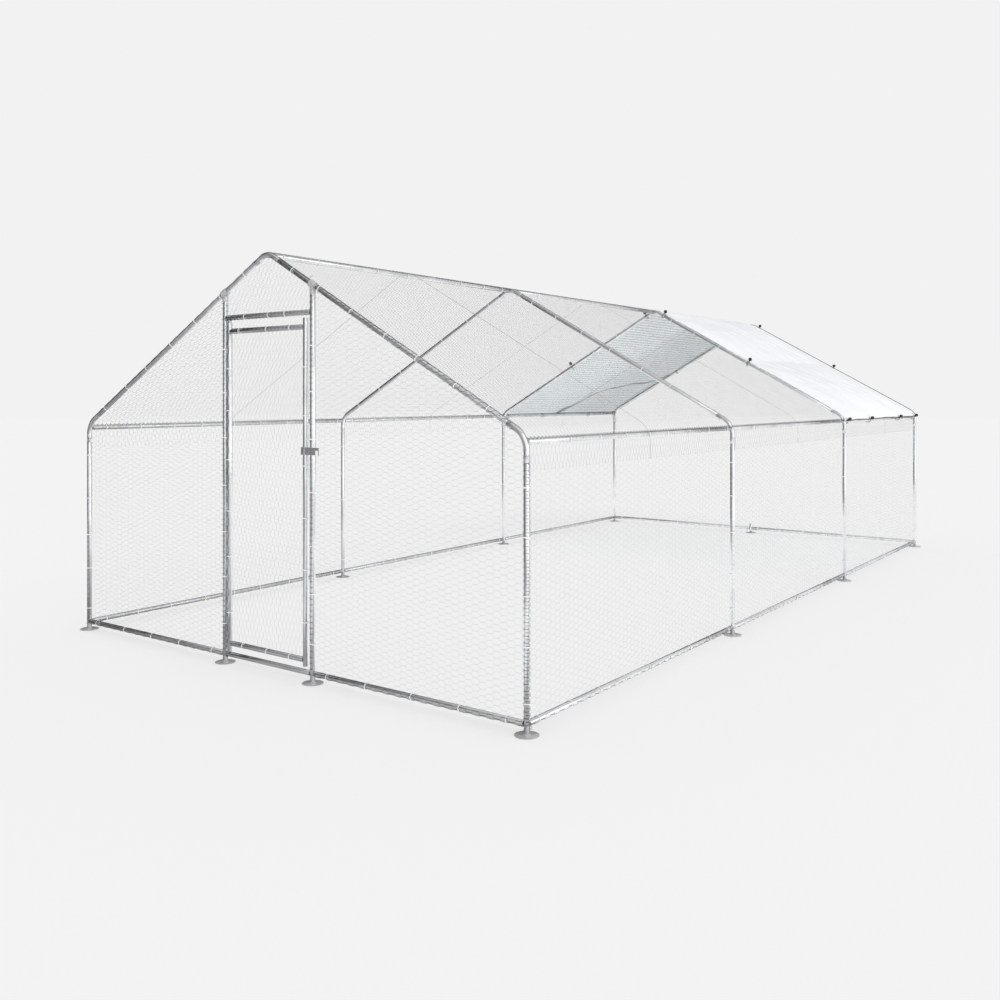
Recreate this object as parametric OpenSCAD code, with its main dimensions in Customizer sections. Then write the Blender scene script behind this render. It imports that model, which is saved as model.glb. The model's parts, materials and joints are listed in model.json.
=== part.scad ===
// Walk-in poultry run: a plug-together frame of galvanised tubes with four arches, hexagonal wire
// netting on every side, a swinging door with a hasp, and a cover sheet over the rear bay.
// Millimetres. X is the width, Y the length with the door at -Y, and Z is up from the ground.

/* [Run] */
// Width between the axes of the left and right posts
run_w = 3000; // [2400:50:4000]
// Length between the axes of the front and rear arches
run_l = 6000; // [4800:60:9000]
// Height where the lines of a post and its rafter cross
eave_h = 1160; // [1100:10:1400]
// Slope of the roof in degrees
roof_pitch = 29.3; // [26:0.1:34]

/* [Tubes] */
// Outer diameter of every frame tube
tube_d = 25; // [22:0.5:30]
// Wall of every frame tube
tube_wall = 0.8; // [0.8:0.1:1.5]
// Wall of the plugs that join two tubes
plug_wall = 1.2; // [1:0.1:2]
// Length of a plug inside the tube that it joins
plug_l = 40; // [25:1:44]
// Radial clearance of a plug in its tube
plug_gap = 0.15; // [0.1:0.05:0.3]
// Clearance between a cut tube end and the tube that it meets
end_gap = 0.5; // [0.3:0.1:1]
// Centreline radius of the bend between post and rafter
eave_r = 100; // [80:5:140]
// Centreline radius of the bend at the ridge
ridge_r = 90; // [70:5:120]
// Straight leg at each end of a bend
leg_l = 46; // [46:1:80]
// Step in radius by which those legs are swaged wider than the bend
swage = 0.3; // [0.2:0.05:0.4]
// Angle up the eave bend at which the eave purlin meets it
purlin_angle = 22; // [15:1:30]
// Height of the base rails' axes
rail_z = 45; // [40:1:70]

/* [Feet] */
// Diameter of a foot plate
foot_d = 100; // [80:1:140]
// Thickness of a foot plate
foot_t = 3; // [2:0.5:6]
// Height of the short leg under the middle of the rear rail
mid_leg_h = 85; // [80:1:140]

/* [Door] */
// Distance of each door post from the middle of the front
door_post_x = 310; // [300:1:420]
// Drop from a front rafter's axis at a door post to the lintel's axis
lintel_drop = 124.8; // [105:0.1:180]
// Distance from the left door post to the hinge stile
hinge_step = 33; // [33:1:45]
// Distance from the right door post to the lock stile
lock_step = 47; // [44:1:60]
// Drop from the lintel's axis to the door's top rail
door_top_drop = 68; // [60:1:140]
// Height of the door's bottom rail
door_bottom_z = 100; // [95:1:160]
// Gap between the stiles' ends and the tubes above and below
stile_gap = 13; // [8:1:16]
// Diameter of the door's pivot pins
pivot_d = 9; // [6:0.5:12]
// Radial clearance of a pivot pin in its hole
pivot_gap = 0.05; // [0.02:0.01:0.1]
// Length of the clamp on a rafter at the head of a door post
clamp_l = 34; // [24:1:44]
// Wall of that clamp
clamp_wall = 3; // [2:0.5:4]

/* [Hasp] */
// Height of the middle of the hasp
hasp_z = 1064; // [900:1:1200]
// Height of the hasp's strap
strap_h = 34; // [30:1:44]
// Thickness of the hasp's sheet steel
strap_t = 2; // [1.5:0.5:3]
// Reach of the strap past the lock stile
strap_reach = 104; // [96:1:125]
// Radius of the hasp's hinge knuckles
knuckle_r = 4; // [3.5:0.5:5]
// Diameter of the hasp's hinge pin
hasp_pin_d = 4; // [3:0.5:5]
// Length of the slot over the staple
slot_l = 28; // [26:1:34]
// Diameter of the staple's bar
staple_d = 5; // [4:0.5:6]
// How far the staple stands in front of the strap
staple_out = 12; // [10:1:14]

/* [Netting] */
// Width across the flats of one gap and its strand
hex_w = 400; // [300:10:500]
// Width of a strand
strand_w = 6; // [4:0.5:8]
// Width of the hem along a panel's edge
hem_w = 8; // [6:0.5:10]
// Thickness of the netting
net_t = 2; // [1.5:0.5:3]
// Clearance between netting and tubes
net_gap = 0.3; // [0.2:0.05:0.5]

/* [Roof cover] */
// Thickness of the cover sheet
cover_t = 1; // [0.6:0.1:2]
// Clearance under the cover sheet
cover_gap = 0.3; // [0.2:0.05:0.5]
// Lap of the cover past the outer arches' axes
cover_lap = 4; // [2:0.5:6]
// Room between the inside of a tie's elastic loop and the top of an eyelet's rim
loop_room = 1; // [0.5:0.5:5]
// Diameter of the elastic cord
cord_d = 4; // [3:0.5:5]
// Diameter of a tie's ball
ball_d = 27; // [22:1:32]
// Clearance of the cord in an eyelet's hole
eyelet_clear = 0.6; // [0.4:0.1:2]
// Width of an eyelet's rim
eyelet_rim = 4; // [3:0.5:6]
// Thickness of an eyelet's rim
eyelet_t = 0.8; // [0.5:0.1:1]
// Distance of the first tie on a rafter from the ridge's middle
ridge_tie_x = 75; // [70:1:100]
// Distance of the second tie on a rafter from the ridge's middle
mid_tie_x = 780; // [600:10:900]
// Distance of the corner ties from the arches
corner_tie_y = 45; // [35:1:60]

/* [Screws] */
// Diameter of a joint screw
screw_d = 4.8; // [4:0.1:5.5]
// Diameter of its head
screw_head_d = 9; // [8:0.5:11]
// Height of its head
screw_head_h = 2.5; // [2:0.1:3.5]
// Length of its shank
screw_l = 8; // [6:0.5:10]

/* [Hidden] */
$fn = 48;

// Colours
zinc = "#b4b8bc";
zinc_dark = "#8f9296";
wire = "#c9cdd0";
sheet_white = "#f2f5f5";
black = "#202124";

// A cut runs past the face that it leaves by this much
over = 1;
front = 0;
second = 1;
third = 2;
rear = 3;
bays = 3;
left = -1;
right = 1;

// Tubes and plugs
tube_r = tube_d / 2;
bore_r = tube_r - tube_wall;
plug_r = bore_r - plug_gap;
plug_bore_r = plug_r - plug_wall;
shoulder = 3;
stub_end = tube_r + plug_l;
screw_clear = 0.2;

// Plan of the frame
half_w = run_w / 2;
half_l = run_l / 2;
bay_l = run_l / bays;
arch_y = [for (i = [front : rear]) -half_l + i * bay_l];

// Cross-section of an arch: eave bend, rafter and ridge bend
turn = 90 - roof_pitch;
eave_t = eave_r * tan(turn / 2);
bend_z = eave_h - eave_t;
bend_x = half_w - eave_r;
post_top = bend_z - leg_l;
slope_l = half_w / cos(roof_pitch);
apex_z = eave_h + half_w * tan(roof_pitch);
ridge_t = ridge_r * tan(roof_pitch);
ridge_c = apex_z - ridge_r / cos(roof_pitch);
ridge_z = ridge_c + ridge_r;
rafter_d0 = eave_t + leg_l;
rafter_d1 = slope_l - ridge_t - leg_l;
rafter_l = rafter_d1 - rafter_d0;
plate_l = slope_l - ridge_t - eave_t;
purlin_x = bend_x + eave_r * cos(purlin_angle);
purlin_z = bend_z + eave_r * sin(purlin_angle);

// Door, hung under the rafters
rafter_z_at_door = eave_h + (half_w - door_post_x) * tan(roof_pitch);
lintel_z = rafter_z_at_door - lintel_drop;
door_top_z = lintel_z - door_top_drop;
hinge_x = -door_post_x + hinge_step;
lock_x = door_post_x - lock_step;
stile_z0 = rail_z + tube_r + stile_gap;
stile_z1 = lintel_z - tube_r - stile_gap;
pivot_r = pivot_d / 2;
pivot_plug_l = 25;
pivot_neck_step = 3;
pivot_neck_gap = 0.6;
pivot_end_gap = 2;
clamp_r = tube_r + plug_gap + clamp_wall;
head_drop = (clamp_r + tube_r * sin(roof_pitch)) / cos(roof_pitch);
door_post_top = rafter_z_at_door - head_drop;

// Faces of the netting, from the axis of the tube that carries it, and the gap of touching pieces
net_in = tube_r + net_gap;
net_out = net_in + net_t;
touch = 0.1;

// Hasp, in front of the netting
strap_clear = 1.2;
strap_back = net_out + strap_clear;
strap_front = strap_back + strap_t;
hasp_pin_r = hasp_pin_d / 2;
hasp_axis_step = 11;
hasp_axis_x = lock_x + hasp_axis_step;
hasp_axis_y = strap_back + knuckle_r;
knuckle_gap = 0.4;
knuckle_h = strap_h / 3;
saddle_w = 14;
saddle_back = 0.7 * tube_r;
slot_clear = 2;
slot_h = staple_d + 2 * slot_clear;
slot_shift = 1;
slot_x = door_post_x + slot_shift;
staple_span = 9;
staple_plate_h = 26;
staple_plate_w = 18;
pull_h = 22;
pull_w = 17;
pull_rim = 5;
notch_clear = 2;

// Roof cover and its ties
cover_in = net_out + cover_gap;
cover_out = cover_in + cover_t;
eyelet_top = cover_out + touch + eyelet_t;
cord_r = cord_d / 2;
ball_r = ball_d / 2;
loop_in = eyelet_top + loop_room;
loop_out = loop_in + cord_d;
loop_r = loop_in + cord_r;
fold_step = 0.1;
fold_lap = 1;

// Room that the loop's cord needs where it passes slantwise through a flat sheet: from its near
// edge above the sheet to its far edge below it
function cord_near(top) = sqrt(pow(loop_in, 2) - pow(top, 2));
function cord_far(bottom) = sqrt(pow(loop_out, 2) - pow(bottom, 2));
eyelet_side = (cord_near(eyelet_top) + cord_far(cover_in)) / 2;
net_side = (cord_near(net_out) + cord_far(net_in)) / 2;
net_hole_r = cord_far(net_in) - net_side + eyelet_clear;

// The same room round the eave, as angles about the eave bend's centre
function loop_angle(loop, rise) =
  acos((pow(eave_r + rise, 2) + pow(eave_r, 2) - pow(loop, 2)) / (2 * (eave_r + rise) * eave_r));
eave_near = loop_angle(loop_in, eyelet_top);
eave_far = loop_angle(loop_out, cover_in);
eyelet_lift = (eave_near + eave_far) / 2;
eave_room = (eave_r + eyelet_top) * sin((eave_far - eave_near) / 2);
eyelet_d = 2 * (max(cord_far(cover_in) - eyelet_side, eave_room) + eyelet_clear);
cover_foot_angle = purlin_angle - asin(cover_lap / (eave_r + cover_in));
tie_arches = [third, rear];
tie_rows = [ridge_tie_x, mid_tie_x];
eave_tie_shares = [0.305, 0.723];
eave_ties = concat(
  [arch_y[third] + corner_tie_y],
  [for (share = eave_tie_shares) arch_y[third] + share * bay_l],
  [arch_y[rear] - corner_tie_y]
);

// Netting wires that cross the ridge and the eaves, per bay, and the smallest gap that is cut
crossings = 5;
least_gap = pow(hex_w, 2) / 40;

// Plane geometry for the netting: which side of a line a point is on, and a convex clip
function side_of(a, b, p) = cross(b - a, p - a);
function clip_edge(poly, a, b) = [
  for (i = [0 : len(poly) - 1])
    let (p = poly[i], q = poly[(i + 1) % len(poly)], dp = side_of(a, b, p), dq = side_of(a, b, q))
      each concat(dp >= 0 ? [p] : [], dp * dq < 0 ? [p + (q - p) * dp / (dp - dq)] : [])
];
function clip(poly, edges, i = 0) =
  len(poly) < 3 ? [] : i == len(edges) ? poly : clip(clip_edge(poly, edges[i][0], edges[i][1]), edges, i + 1);
function inset_edges(outline, d) = [
  for (i = [0 : len(outline) - 1])
    let (a = outline[i], b = outline[(i + 1) % len(outline)], n = [a.y - b.y, b.x - a.x] / norm(b - a))
      [a + n * d, b + n * d]
];
function area(poly) = len(poly) < 3 ? 0 :
  0.5 * [for (i = [0 : len(poly) - 1]) cross(poly[i], poly[(i + 1) % len(poly)])] * [for (p = poly) 1];
function hexagon(c, r) = [for (k = [0 : 5]) c + r * [cos(60 * k), sin(60 * k)]];

// Gaps of a hexagonal net inside a convex outline, with the strands' twists lying along X
function net_gaps(outline) =
  let (
    xs = [for (p = outline) p.x],
    ys = [for (p = outline) p.y],
    lo = [min(xs), min(ys)],
    hi = [max(xs), max(ys)],
    mid = (lo + hi) / 2,
    step_x = hex_w * sqrt(3) / 2,
    nx = ceil((hi.x - lo.x) / step_x / 2),
    ny = ceil((hi.y - lo.y) / hex_w / 2),
    gap_r = (hex_w - strand_w) / sqrt(3),
    edges = inset_edges(outline, hem_w)
  )
  [
    for (i = [-nx : nx], j = [-ny - 1 : ny])
      let (
        c = mid + [i * step_x, (j + (abs(i) % 2 == 0 ? 0.5 : 0)) * hex_w],
        gap = clip(hexagon(c, gap_r), edges)
      )
        if (area(gap) > least_gap) gap
  ];

module net_sheet(outline) {
  color(wire)
    linear_extrude(net_t)
      difference() {
        polygon(outline);
        for (gap = net_gaps(outline))
          polygon(gap);
      }
}

// Places the right-hand half of the frame as drawn, and the left-hand half as its mirror image
module on_side(side) {
  if (side == right)
    children();
  else
    mirror([1, 0, 0])
      children();
}

// Frame of the right-hand roof slope: -X runs up the slope from the eave corner, +Z points outwards
module on_slope(up) {
  translate([half_w, 0, eave_h])
    rotate([0, roof_pitch, 0])
      translate([-up, 0, 0])
        children();
}

// Frame of the right-hand eave purlin: X lies along the purlin and +Z points outwards
module on_purlin(y) {
  translate([purlin_x, y, purlin_z])
    rotate([0, 90 - purlin_angle, 0])
      rotate([0, 0, 90])
        children();
}

// Frame of the right-hand roof plane: from the ridge bend's tangent line, +X runs down the slope
module on_roof() {
  on_slope(slope_l - ridge_t)
    children();
}

// The same frame carried over the ridge, where the left-hand slope runs down along -X
module over_ridge() {
  translate([0, 0, -ridge_r])
    rotate([0, -2 * roof_pitch, 0])
      translate([0, 0, ridge_r])
        children();
}

// Place at a radius and an angle up from +X in the XZ plane, with +X pointing outwards
module at_angle(r, a) {
  rotate([0, -a, 0])
    translate([r, 0, 0])
      children();
}

// An arc about the origin in the XZ plane, from one angle to another, of the children's profile
module arc_xz(from, to) {
  rotate([90, -from, 0])
    rotate_extrude(angle = to - from)
      children();
}

module tube(l) {
  difference() {
    cylinder(r = tube_r, h = l);
    translate([0, 0, -over])
      cylinder(r = bore_r, h = l + 2 * over);
  }
}

module tube_x(x0, x1) {
  translate([x0, 0, 0])
    rotate([0, 90, 0])
      tube(x1 - x0);
}

module tube_y(y0, y1) {
  translate([0, y0, 0])
    rotate([-90, 0, 0])
      tube(y1 - y0);
}

// Hole for a joint screw, along +X from the axis of a tube
module screw_hole() {
  rotate([0, 90, 0])
    cylinder(d = screw_d + screw_clear, h = tube_r + over);
}

// Upright tube with side plugs, each given as [height, direction in degrees], and an open top
module upright(z0, z1, plugs) {
  difference() {
    union() {
      translate([0, 0, z0])
        cylinder(r = tube_r, h = z1 - z0);
      for (p = plugs)
        translate([0, 0, p[0]])
          rotate([0, 90, p[1]])
            cylinder(r = plug_r, h = stub_end);
    }
    translate([0, 0, z0 - over])
      cylinder(r = bore_r, h = z1 - z0 + 2 * over);
    for (p = plugs)
      translate([0, 0, p[0]])
        rotate([0, 90, p[1]])
          translate([0, 0, tube_r + over])
            cylinder(r = plug_bore_r, h = plug_l);
  }
}

// Plug that continues a tube along +Z from its end, with the shoulder inside the tube
module end_plug() {
  difference() {
    union() {
      translate([0, 0, -shoulder])
        cylinder(r = bore_r, h = shoulder);
      cylinder(r = plug_r, h = plug_l);
    }
    translate([0, 0, -shoulder - over])
      cylinder(r = plug_bore_r, h = plug_l + shoulder + 2 * over);
  }
}

// Wall post of an arch, drawn for the right-hand side
function post_plugs(i) = concat(
  i == front || i == rear ? [[rail_z, 180]] : [],
  i == rear ? [] : [[rail_z, 90]],
  i == front ? [] : [[rail_z, 270]]
);

module arch_post(i, side) {
  color(zinc)
    on_side(side)
      translate([half_w, arch_y[i], 0])
        difference() {
          union() {
            upright(foot_t, post_top, post_plugs(i));
            translate([0, 0, post_top])
              end_plug();
          }
          translate([0, 0, post_top + leg_l / 2])
            rotate([0, 0, 180])
              screw_hole();
        }
}

// Directions of the purlins that meet an arch
function purlin_sides(i) = concat(i == rear ? [] : [1], i == front ? [] : [-1]);

module purlin_plugs(i) {
  for (s = purlin_sides(i))
    rotate([-90 * s, 0, 0])
      cylinder(r = plug_r, h = stub_end);
}

module purlin_plug_bores(i) {
  for (s = purlin_sides(i))
    rotate([-90 * s, 0, 0])
      translate([0, 0, tube_r + over])
        cylinder(r = plug_bore_r, h = plug_l);
}

// A round bar along a bend and its two legs of radius r, about the bend's centre
module bend_run(bend_r, from, to, r, spare) {
  far = 2 * (bend_r + r);
  difference() {
    rotate([90, 0, 0])
      rotate_extrude()
        translate([bend_r, 0])
          circle(r - swage);
    rotate([0, -from, 0])
      translate([-far, -far, -far])
        cube([2 * far, 2 * far, far]);
    rotate([0, -to, 0])
      translate([-far, -far, 0])
        cube([2 * far, 2 * far, far]);
  }
  at_angle(bend_r, from)
    translate([0, 0, -leg_l - spare])
      cylinder(r = r, h = leg_l + spare);
  at_angle(bend_r, to)
    cylinder(r = r, h = leg_l + spare);
}

// Middles of a bend's legs, with +X pointing into the run
module at_bend_joints(bend_r, from, to) {
  at_angle(bend_r, from)
    translate([0, 0, -leg_l / 2])
      rotate([0, 0, 180])
        children();
  at_angle(bend_r, to)
    translate([0, 0, leg_l / 2])
      rotate([0, 0, 180])
        children();
}

module bend(bend_r, from, to, purlin_at, i) {
  difference() {
    union() {
      bend_run(bend_r, from, to, tube_r, 0);
      at_angle(bend_r, purlin_at)
        purlin_plugs(i);
    }
    bend_run(bend_r, from, to, bore_r, over);
    at_angle(bend_r, purlin_at)
      purlin_plug_bores(i);
    at_bend_joints(bend_r, from, to)
      screw_hole();
  }
}

module eave_bends(i) {
  color(zinc)
    for (side = [left, right])
      on_side(side)
        translate([bend_x, arch_y[i], bend_z])
          bend(eave_r, 0, turn, purlin_angle, i);
}

module ridge_bend(i) {
  color(zinc)
    translate([0, arch_y[i], ridge_c])
      bend(ridge_r, turn, 180 - turn, 90, i);
}

module rafters(i) {
  color(zinc)
    for (side = [left, right])
      on_side(side)
        translate([0, arch_y[i], 0])
          on_slope(rafter_d1)
            difference() {
              union() {
                rotate([0, 90, 0])
                  tube(rafter_l);
                rotate([0, -90, 0])
                  end_plug();
                translate([rafter_l, 0, 0])
                  rotate([0, 90, 0])
                    end_plug();
              }
              for (x = [-leg_l / 2, rafter_l + leg_l / 2])
                translate([x, 0, 0])
                  rotate([0, 90, 0])
                    screw_hole();
            }
}

// One tube per bay, between neighbouring arches
module bay_tubes() {
  for (i = [front : rear - 1])
    tube_y(arch_y[i] + tube_r + end_gap, arch_y[i + 1] - tube_r - end_gap);
}

module eave_purlins(side) {
  color(zinc)
    on_side(side)
      translate([purlin_x, 0, purlin_z])
        bay_tubes();
}

module ridge_purlins() {
  color(zinc)
    translate([0, 0, ridge_z])
      bay_tubes();
}

module base_rails(side) {
  color(zinc)
    on_side(side)
      translate([half_w, 0, rail_z])
        bay_tubes();
}

module front_rail(side) {
  color(zinc)
    on_side(side)
      translate([0, arch_y[front], rail_z])
        tube_x(door_post_x + tube_r + end_gap, half_w - tube_r - end_gap);
}

module rear_rails() {
  color(zinc)
    for (side = [left, right])
      on_side(side)
        translate([0, arch_y[rear], rail_z])
          tube_x(tube_r + end_gap, half_w - tube_r - end_gap);
}

module rear_mid_leg() {
  color(zinc)
    translate([0, arch_y[rear], 0])
      union() {
        upright(foot_t, mid_leg_h, [[rail_z, 0], [rail_z, 180]]);
        translate([0, 0, mid_leg_h])
          cylinder(r = tube_r, h = tube_wall);
      }
}

// Pivot holes of the door, open from the gap above or below it to the axis of the tube
module pivot_holes(r) {
  translate([hinge_x, arch_y[front], rail_z])
    cylinder(r = r, h = tube_r + over);
  translate([hinge_x, arch_y[front], lintel_z - tube_r - over])
    cylinder(r = r, h = tube_r + over);
}

module door_span(z) {
  color(zinc)
    difference() {
      translate([0, arch_y[front], z])
        tube_x(-door_post_x + tube_r + end_gap, door_post_x - tube_r - end_gap);
      pivot_holes(pivot_r + pivot_gap);
    }
}

module foot() {
  cylinder(d = foot_d, h = foot_t);
  cylinder(r = plug_r, h = rail_z - plug_r);
}

module feet() {
  color(zinc_dark)
    union() {
      for (side = [left, right], y = arch_y)
        translate([side * half_w, y, 0])
          foot();
      for (side = [left, right])
        translate([side * door_post_x, arch_y[front], 0])
          foot();
      translate([0, arch_y[rear], 0])
        foot();
    }
}

// Door post, drawn for the right-hand side: plugs for both rails and the lintel
module door_post(side) {
  color(zinc)
    difference() {
      on_side(side)
        translate([door_post_x, arch_y[front], 0])
          upright(foot_t, door_post_top, [[rail_z, 0], [rail_z, 180], [lintel_z, 180]]);
      pivot_holes(pivot_r + plug_gap);
    }
}

// Clamp at a door post's head: a plug in the post under a clip that is open to the front and the top
module door_post_clamps() {
  color(zinc_dark)
    for (side = [left, right])
      on_side(side)
        translate([door_post_x, arch_y[front], rafter_z_at_door])
          difference() {
            union() {
              translate([0, 0, -head_drop - plug_l])
                cylinder(r = plug_r, h = plug_l);
              translate([0, 0, -head_drop])
                cylinder(r = tube_r, h = head_drop);
              rotate([0, 90 + roof_pitch, 0])
                cylinder(r = clamp_r, h = clamp_l, center = true);
            }
            rotate([0, 90 + roof_pitch, 0])
              cylinder(r = tube_r + plug_gap, h = 4 * clamp_l, center = true);
            translate([0, -tube_r - clamp_l, 0])
              cube([4 * clamp_l, 2 * clamp_l, 4 * clamp_l], center = true);
            rotate([0, roof_pitch, 0]) {
              translate([0, 0, tube_r + clamp_l])
                cube([4 * clamp_l, 4 * clamp_l, 2 * clamp_l], center = true);
              translate([0, -clamp_l, clamp_l])
                cube([4 * clamp_l, 2 * clamp_l, 2 * clamp_l], center = true);
            }
          }
}

// Screws at the bends' legs, each pointing into the run
module screw() {
  rotate([0, 90, 0]) {
    translate([0, 0, tube_r - screw_l])
      cylinder(d = screw_d, h = screw_l + screw_head_h);
    translate([0, 0, tube_r + touch])
      cylinder(d = screw_head_d, h = screw_head_h);
  }
}

module joint_screws() {
  color(zinc_dark)
    for (y = arch_y) {
      for (side = [left, right])
        on_side(side)
          translate([bend_x, y, bend_z])
            at_bend_joints(eave_r, 0, turn)
              screw();
      translate([0, y, ridge_c])
        at_bend_joints(ridge_r, turn, 180 - turn)
          screw();
    }
}

// Door leaf
module door_stile(x, direction) {
  color(zinc)
    translate([x, arch_y[front], 0])
      upright(stile_z0, stile_z1, [[door_bottom_z, direction], [door_top_z, direction]]);
}

module door_rail(z) {
  color(zinc)
    translate([0, arch_y[front], z])
      tube_x(hinge_x + tube_r + end_gap, lock_x - tube_r - end_gap);
}

// Pivot: a plug in the stile, a neck that fills the gap and a pin in the tube beyond it
module pivot() {
  translate([0, 0, -pivot_plug_l])
    cylinder(r = plug_r, h = pivot_plug_l);
  cylinder(r = tube_r - pivot_neck_step, h = stile_gap - pivot_neck_gap);
  cylinder(r = pivot_r, h = stile_gap + tube_r - pivot_end_gap);
}

module door_upper_pivot() {
  color(zinc_dark)
    translate([hinge_x, arch_y[front], stile_z1])
      pivot();
}

module door_lower_pivot() {
  color(zinc_dark)
    translate([hinge_x, arch_y[front], stile_z0])
      mirror([0, 0, 1])
        pivot();
}

// Frame of an upright net in front of the tubes at the front, facing -Y
module at_front() {
  translate([0, arch_y[front] - net_in, 0])
    rotate([90, 0, 0])
      children();
}

// Room round the hasp and the staple
module hasp_notch() {
  translate([lock_x, arch_y[front] - net_out, hasp_z])
    cube([staple_plate_w + 2 * notch_clear, 2 * net_out, strap_h + 2 * notch_clear], center = true);
  translate([door_post_x, arch_y[front] - net_out, hasp_z])
    cube([staple_plate_w + 2 * notch_clear, 2 * net_out, strap_h + 2 * notch_clear], center = true);
}

module door_net() {
  difference() {
    at_front()
      net_sheet([
        [hinge_x, door_bottom_z],
        [lock_x, door_bottom_z],
        [lock_x, door_top_z],
        [hinge_x, door_top_z]
      ]);
    hasp_notch();
  }
}

// Hasp: a plate on the lock stile, a strap over the door post and a staple on that post
module saddle(x, w, h, depth) {
  difference() {
    translate([x - w / 2, arch_y[front] - depth, hasp_z - h / 2])
      cube([w, depth, h]);
    translate([x, arch_y[front], hasp_z - h])
      cylinder(r = tube_r + touch, h = 2 * h);
    translate([x - w, arch_y[front] - saddle_back, hasp_z - h])
      cube([2 * w, 2 * tube_r, 2 * h]);
  }
}

module knuckle(z0, z1, r) {
  translate([hasp_axis_x, arch_y[front] - hasp_axis_y, z0])
    cylinder(r = r, h = z1 - z0);
}

module hasp_plate() {
  color(zinc_dark)
    difference() {
      union() {
        saddle(lock_x, saddle_w, strap_h, strap_front);
        translate([lock_x - tube_r, arch_y[front] - strap_front, hasp_z - strap_h / 2])
          cube([hasp_axis_x - lock_x + tube_r, strap_t, strap_h]);
        knuckle(hasp_z - strap_h / 2, hasp_z - knuckle_h / 2, knuckle_r);
        knuckle(hasp_z + knuckle_h / 2, hasp_z + strap_h / 2, knuckle_r);
      }
      knuckle(hasp_z - strap_h, hasp_z + strap_h, hasp_pin_r);
      translate([
        hasp_axis_x - knuckle_r - knuckle_gap,
        arch_y[front] - hasp_axis_y - knuckle_r - over,
        hasp_z - knuckle_h / 2 - knuckle_gap
      ])
        cube([4 * knuckle_r, 2 * knuckle_r + 2 * over, knuckle_h + 2 * knuckle_gap]);
    }
}

module hasp_pin() {
  color(zinc)
    knuckle(hasp_z - strap_h / 2, hasp_z + strap_h / 2, hasp_pin_r - pivot_gap / 2);
}

module hasp_strap() {
  color(zinc_dark)
    difference() {
      union() {
        knuckle(hasp_z - knuckle_h / 2, hasp_z + knuckle_h / 2, knuckle_r);
        translate([hasp_axis_x, arch_y[front] - strap_front, hasp_z - knuckle_h / 2])
          cube([2 * knuckle_r, strap_t, knuckle_h]);
        translate([hasp_axis_x + knuckle_r + knuckle_gap, arch_y[front] - strap_front, hasp_z - strap_h / 2])
          cube([lock_x + strap_reach - hasp_axis_x - knuckle_r - knuckle_gap, strap_t, strap_h]);
      }
      knuckle(hasp_z - strap_h, hasp_z + strap_h, hasp_pin_r + pivot_gap);
      translate([slot_x - slot_l / 2, arch_y[front] - strap_front - over, hasp_z - slot_h / 2])
        cube([slot_l, strap_t + 2 * over, slot_h]);
      translate([
        lock_x + strap_reach - pull_rim - pull_w,
        arch_y[front] - strap_front - over,
        hasp_z - strap_h / 2 - over
      ])
        cube([pull_w, strap_t + 2 * over, pull_h + over]);
    }
}

module staple() {
  bend = staple_span / 2;
  reach = strap_front + staple_out - bend - staple_d / 2;
  color(zinc)
    union() {
      saddle(door_post_x, staple_plate_w, staple_plate_h, net_out + touch);
      for (s = [-1, 1])
        translate([door_post_x + s * bend, arch_y[front] - net_out, hasp_z])
          rotate([90, 0, 0])
            cylinder(d = staple_d, h = reach - net_out);
      translate([door_post_x, arch_y[front] - reach, hasp_z])
        rotate([0, 0, 180])
          rotate_extrude(angle = 180)
            translate([bend, 0])
              circle(d = staple_d);
    }
}

// Netting panels, each cut to the axes of the tubes that carry it
rafter_foot = [half_w - eave_t * cos(roof_pitch), eave_h + eave_t * sin(roof_pitch)];
ridge_side = ridge_t * cos(roof_pitch);
ridge_side_z = apex_z - ridge_t * sin(roof_pitch);

function flip(outline) = [for (i = [len(outline) - 1 : -1 : 0]) [-outline[i].x, outline[i].y]];
front_right_outline = [
  [door_post_x, rail_z],
  [half_w, rail_z],
  [half_w, bend_z],
  rafter_foot,
  [door_post_x, rafter_z_at_door]
];
gable_outline = [
  [-door_post_x, lintel_z],
  [door_post_x, lintel_z],
  [door_post_x, rafter_z_at_door],
  [ridge_side, ridge_side_z],
  [-ridge_side, ridge_side_z],
  [-door_post_x, rafter_z_at_door]
];
rear_outline = [
  [-half_w, rail_z],
  [half_w, rail_z],
  [half_w, bend_z],
  rafter_foot,
  [ridge_side, ridge_side_z],
  [-ridge_side, ridge_side_z],
  [-rafter_foot.x, rafter_foot.y],
  [-half_w, bend_z]
];
wall_outline = [[-half_l, rail_z], [half_l, rail_z], [half_l, bend_z], [-half_l, bend_z]];
roof_outline = [[0, -half_l], [plate_l, -half_l], [plate_l, half_l], [0, half_l]];

module net_front_left() {
  at_front()
    net_sheet(flip(front_right_outline));
}

module net_front_right() {
  difference() {
    at_front()
      net_sheet(front_right_outline);
    hasp_notch();
  }
}

module net_front_gable() {
  at_front()
    net_sheet(gable_outline);
}

module net_rear() {
  translate([0, arch_y[rear] + net_out, 0])
    rotate([90, 0, 0])
      net_sheet(rear_outline);
}

module net_wall(side) {
  on_side(side)
    translate([half_w + net_in, 0, 0])
      rotate([90, 0, 90])
        net_sheet(wall_outline);
}

// Places of the wires that cross the eaves and the ridge
crossing_y = concat(
  [-half_l + strand_w / 2],
  [for (i = [front : rear - 1], k = [i == front ? 1 : 0 : crossings - 1]) arch_y[i] + k * bay_l / crossings],
  [half_l - strand_w / 2]
);

module crossing(r, from, to, y) {
  translate([0, 0, -r])
    arc_xz(from, to)
      translate([r + net_in, -y - strand_w / 2])
        square([net_t, strand_w]);
}

// Distance down the roof plane of a tie at a given distance from the ridge's middle
function tie_down(x) = x / cos(roof_pitch) - ridge_t;

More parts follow.
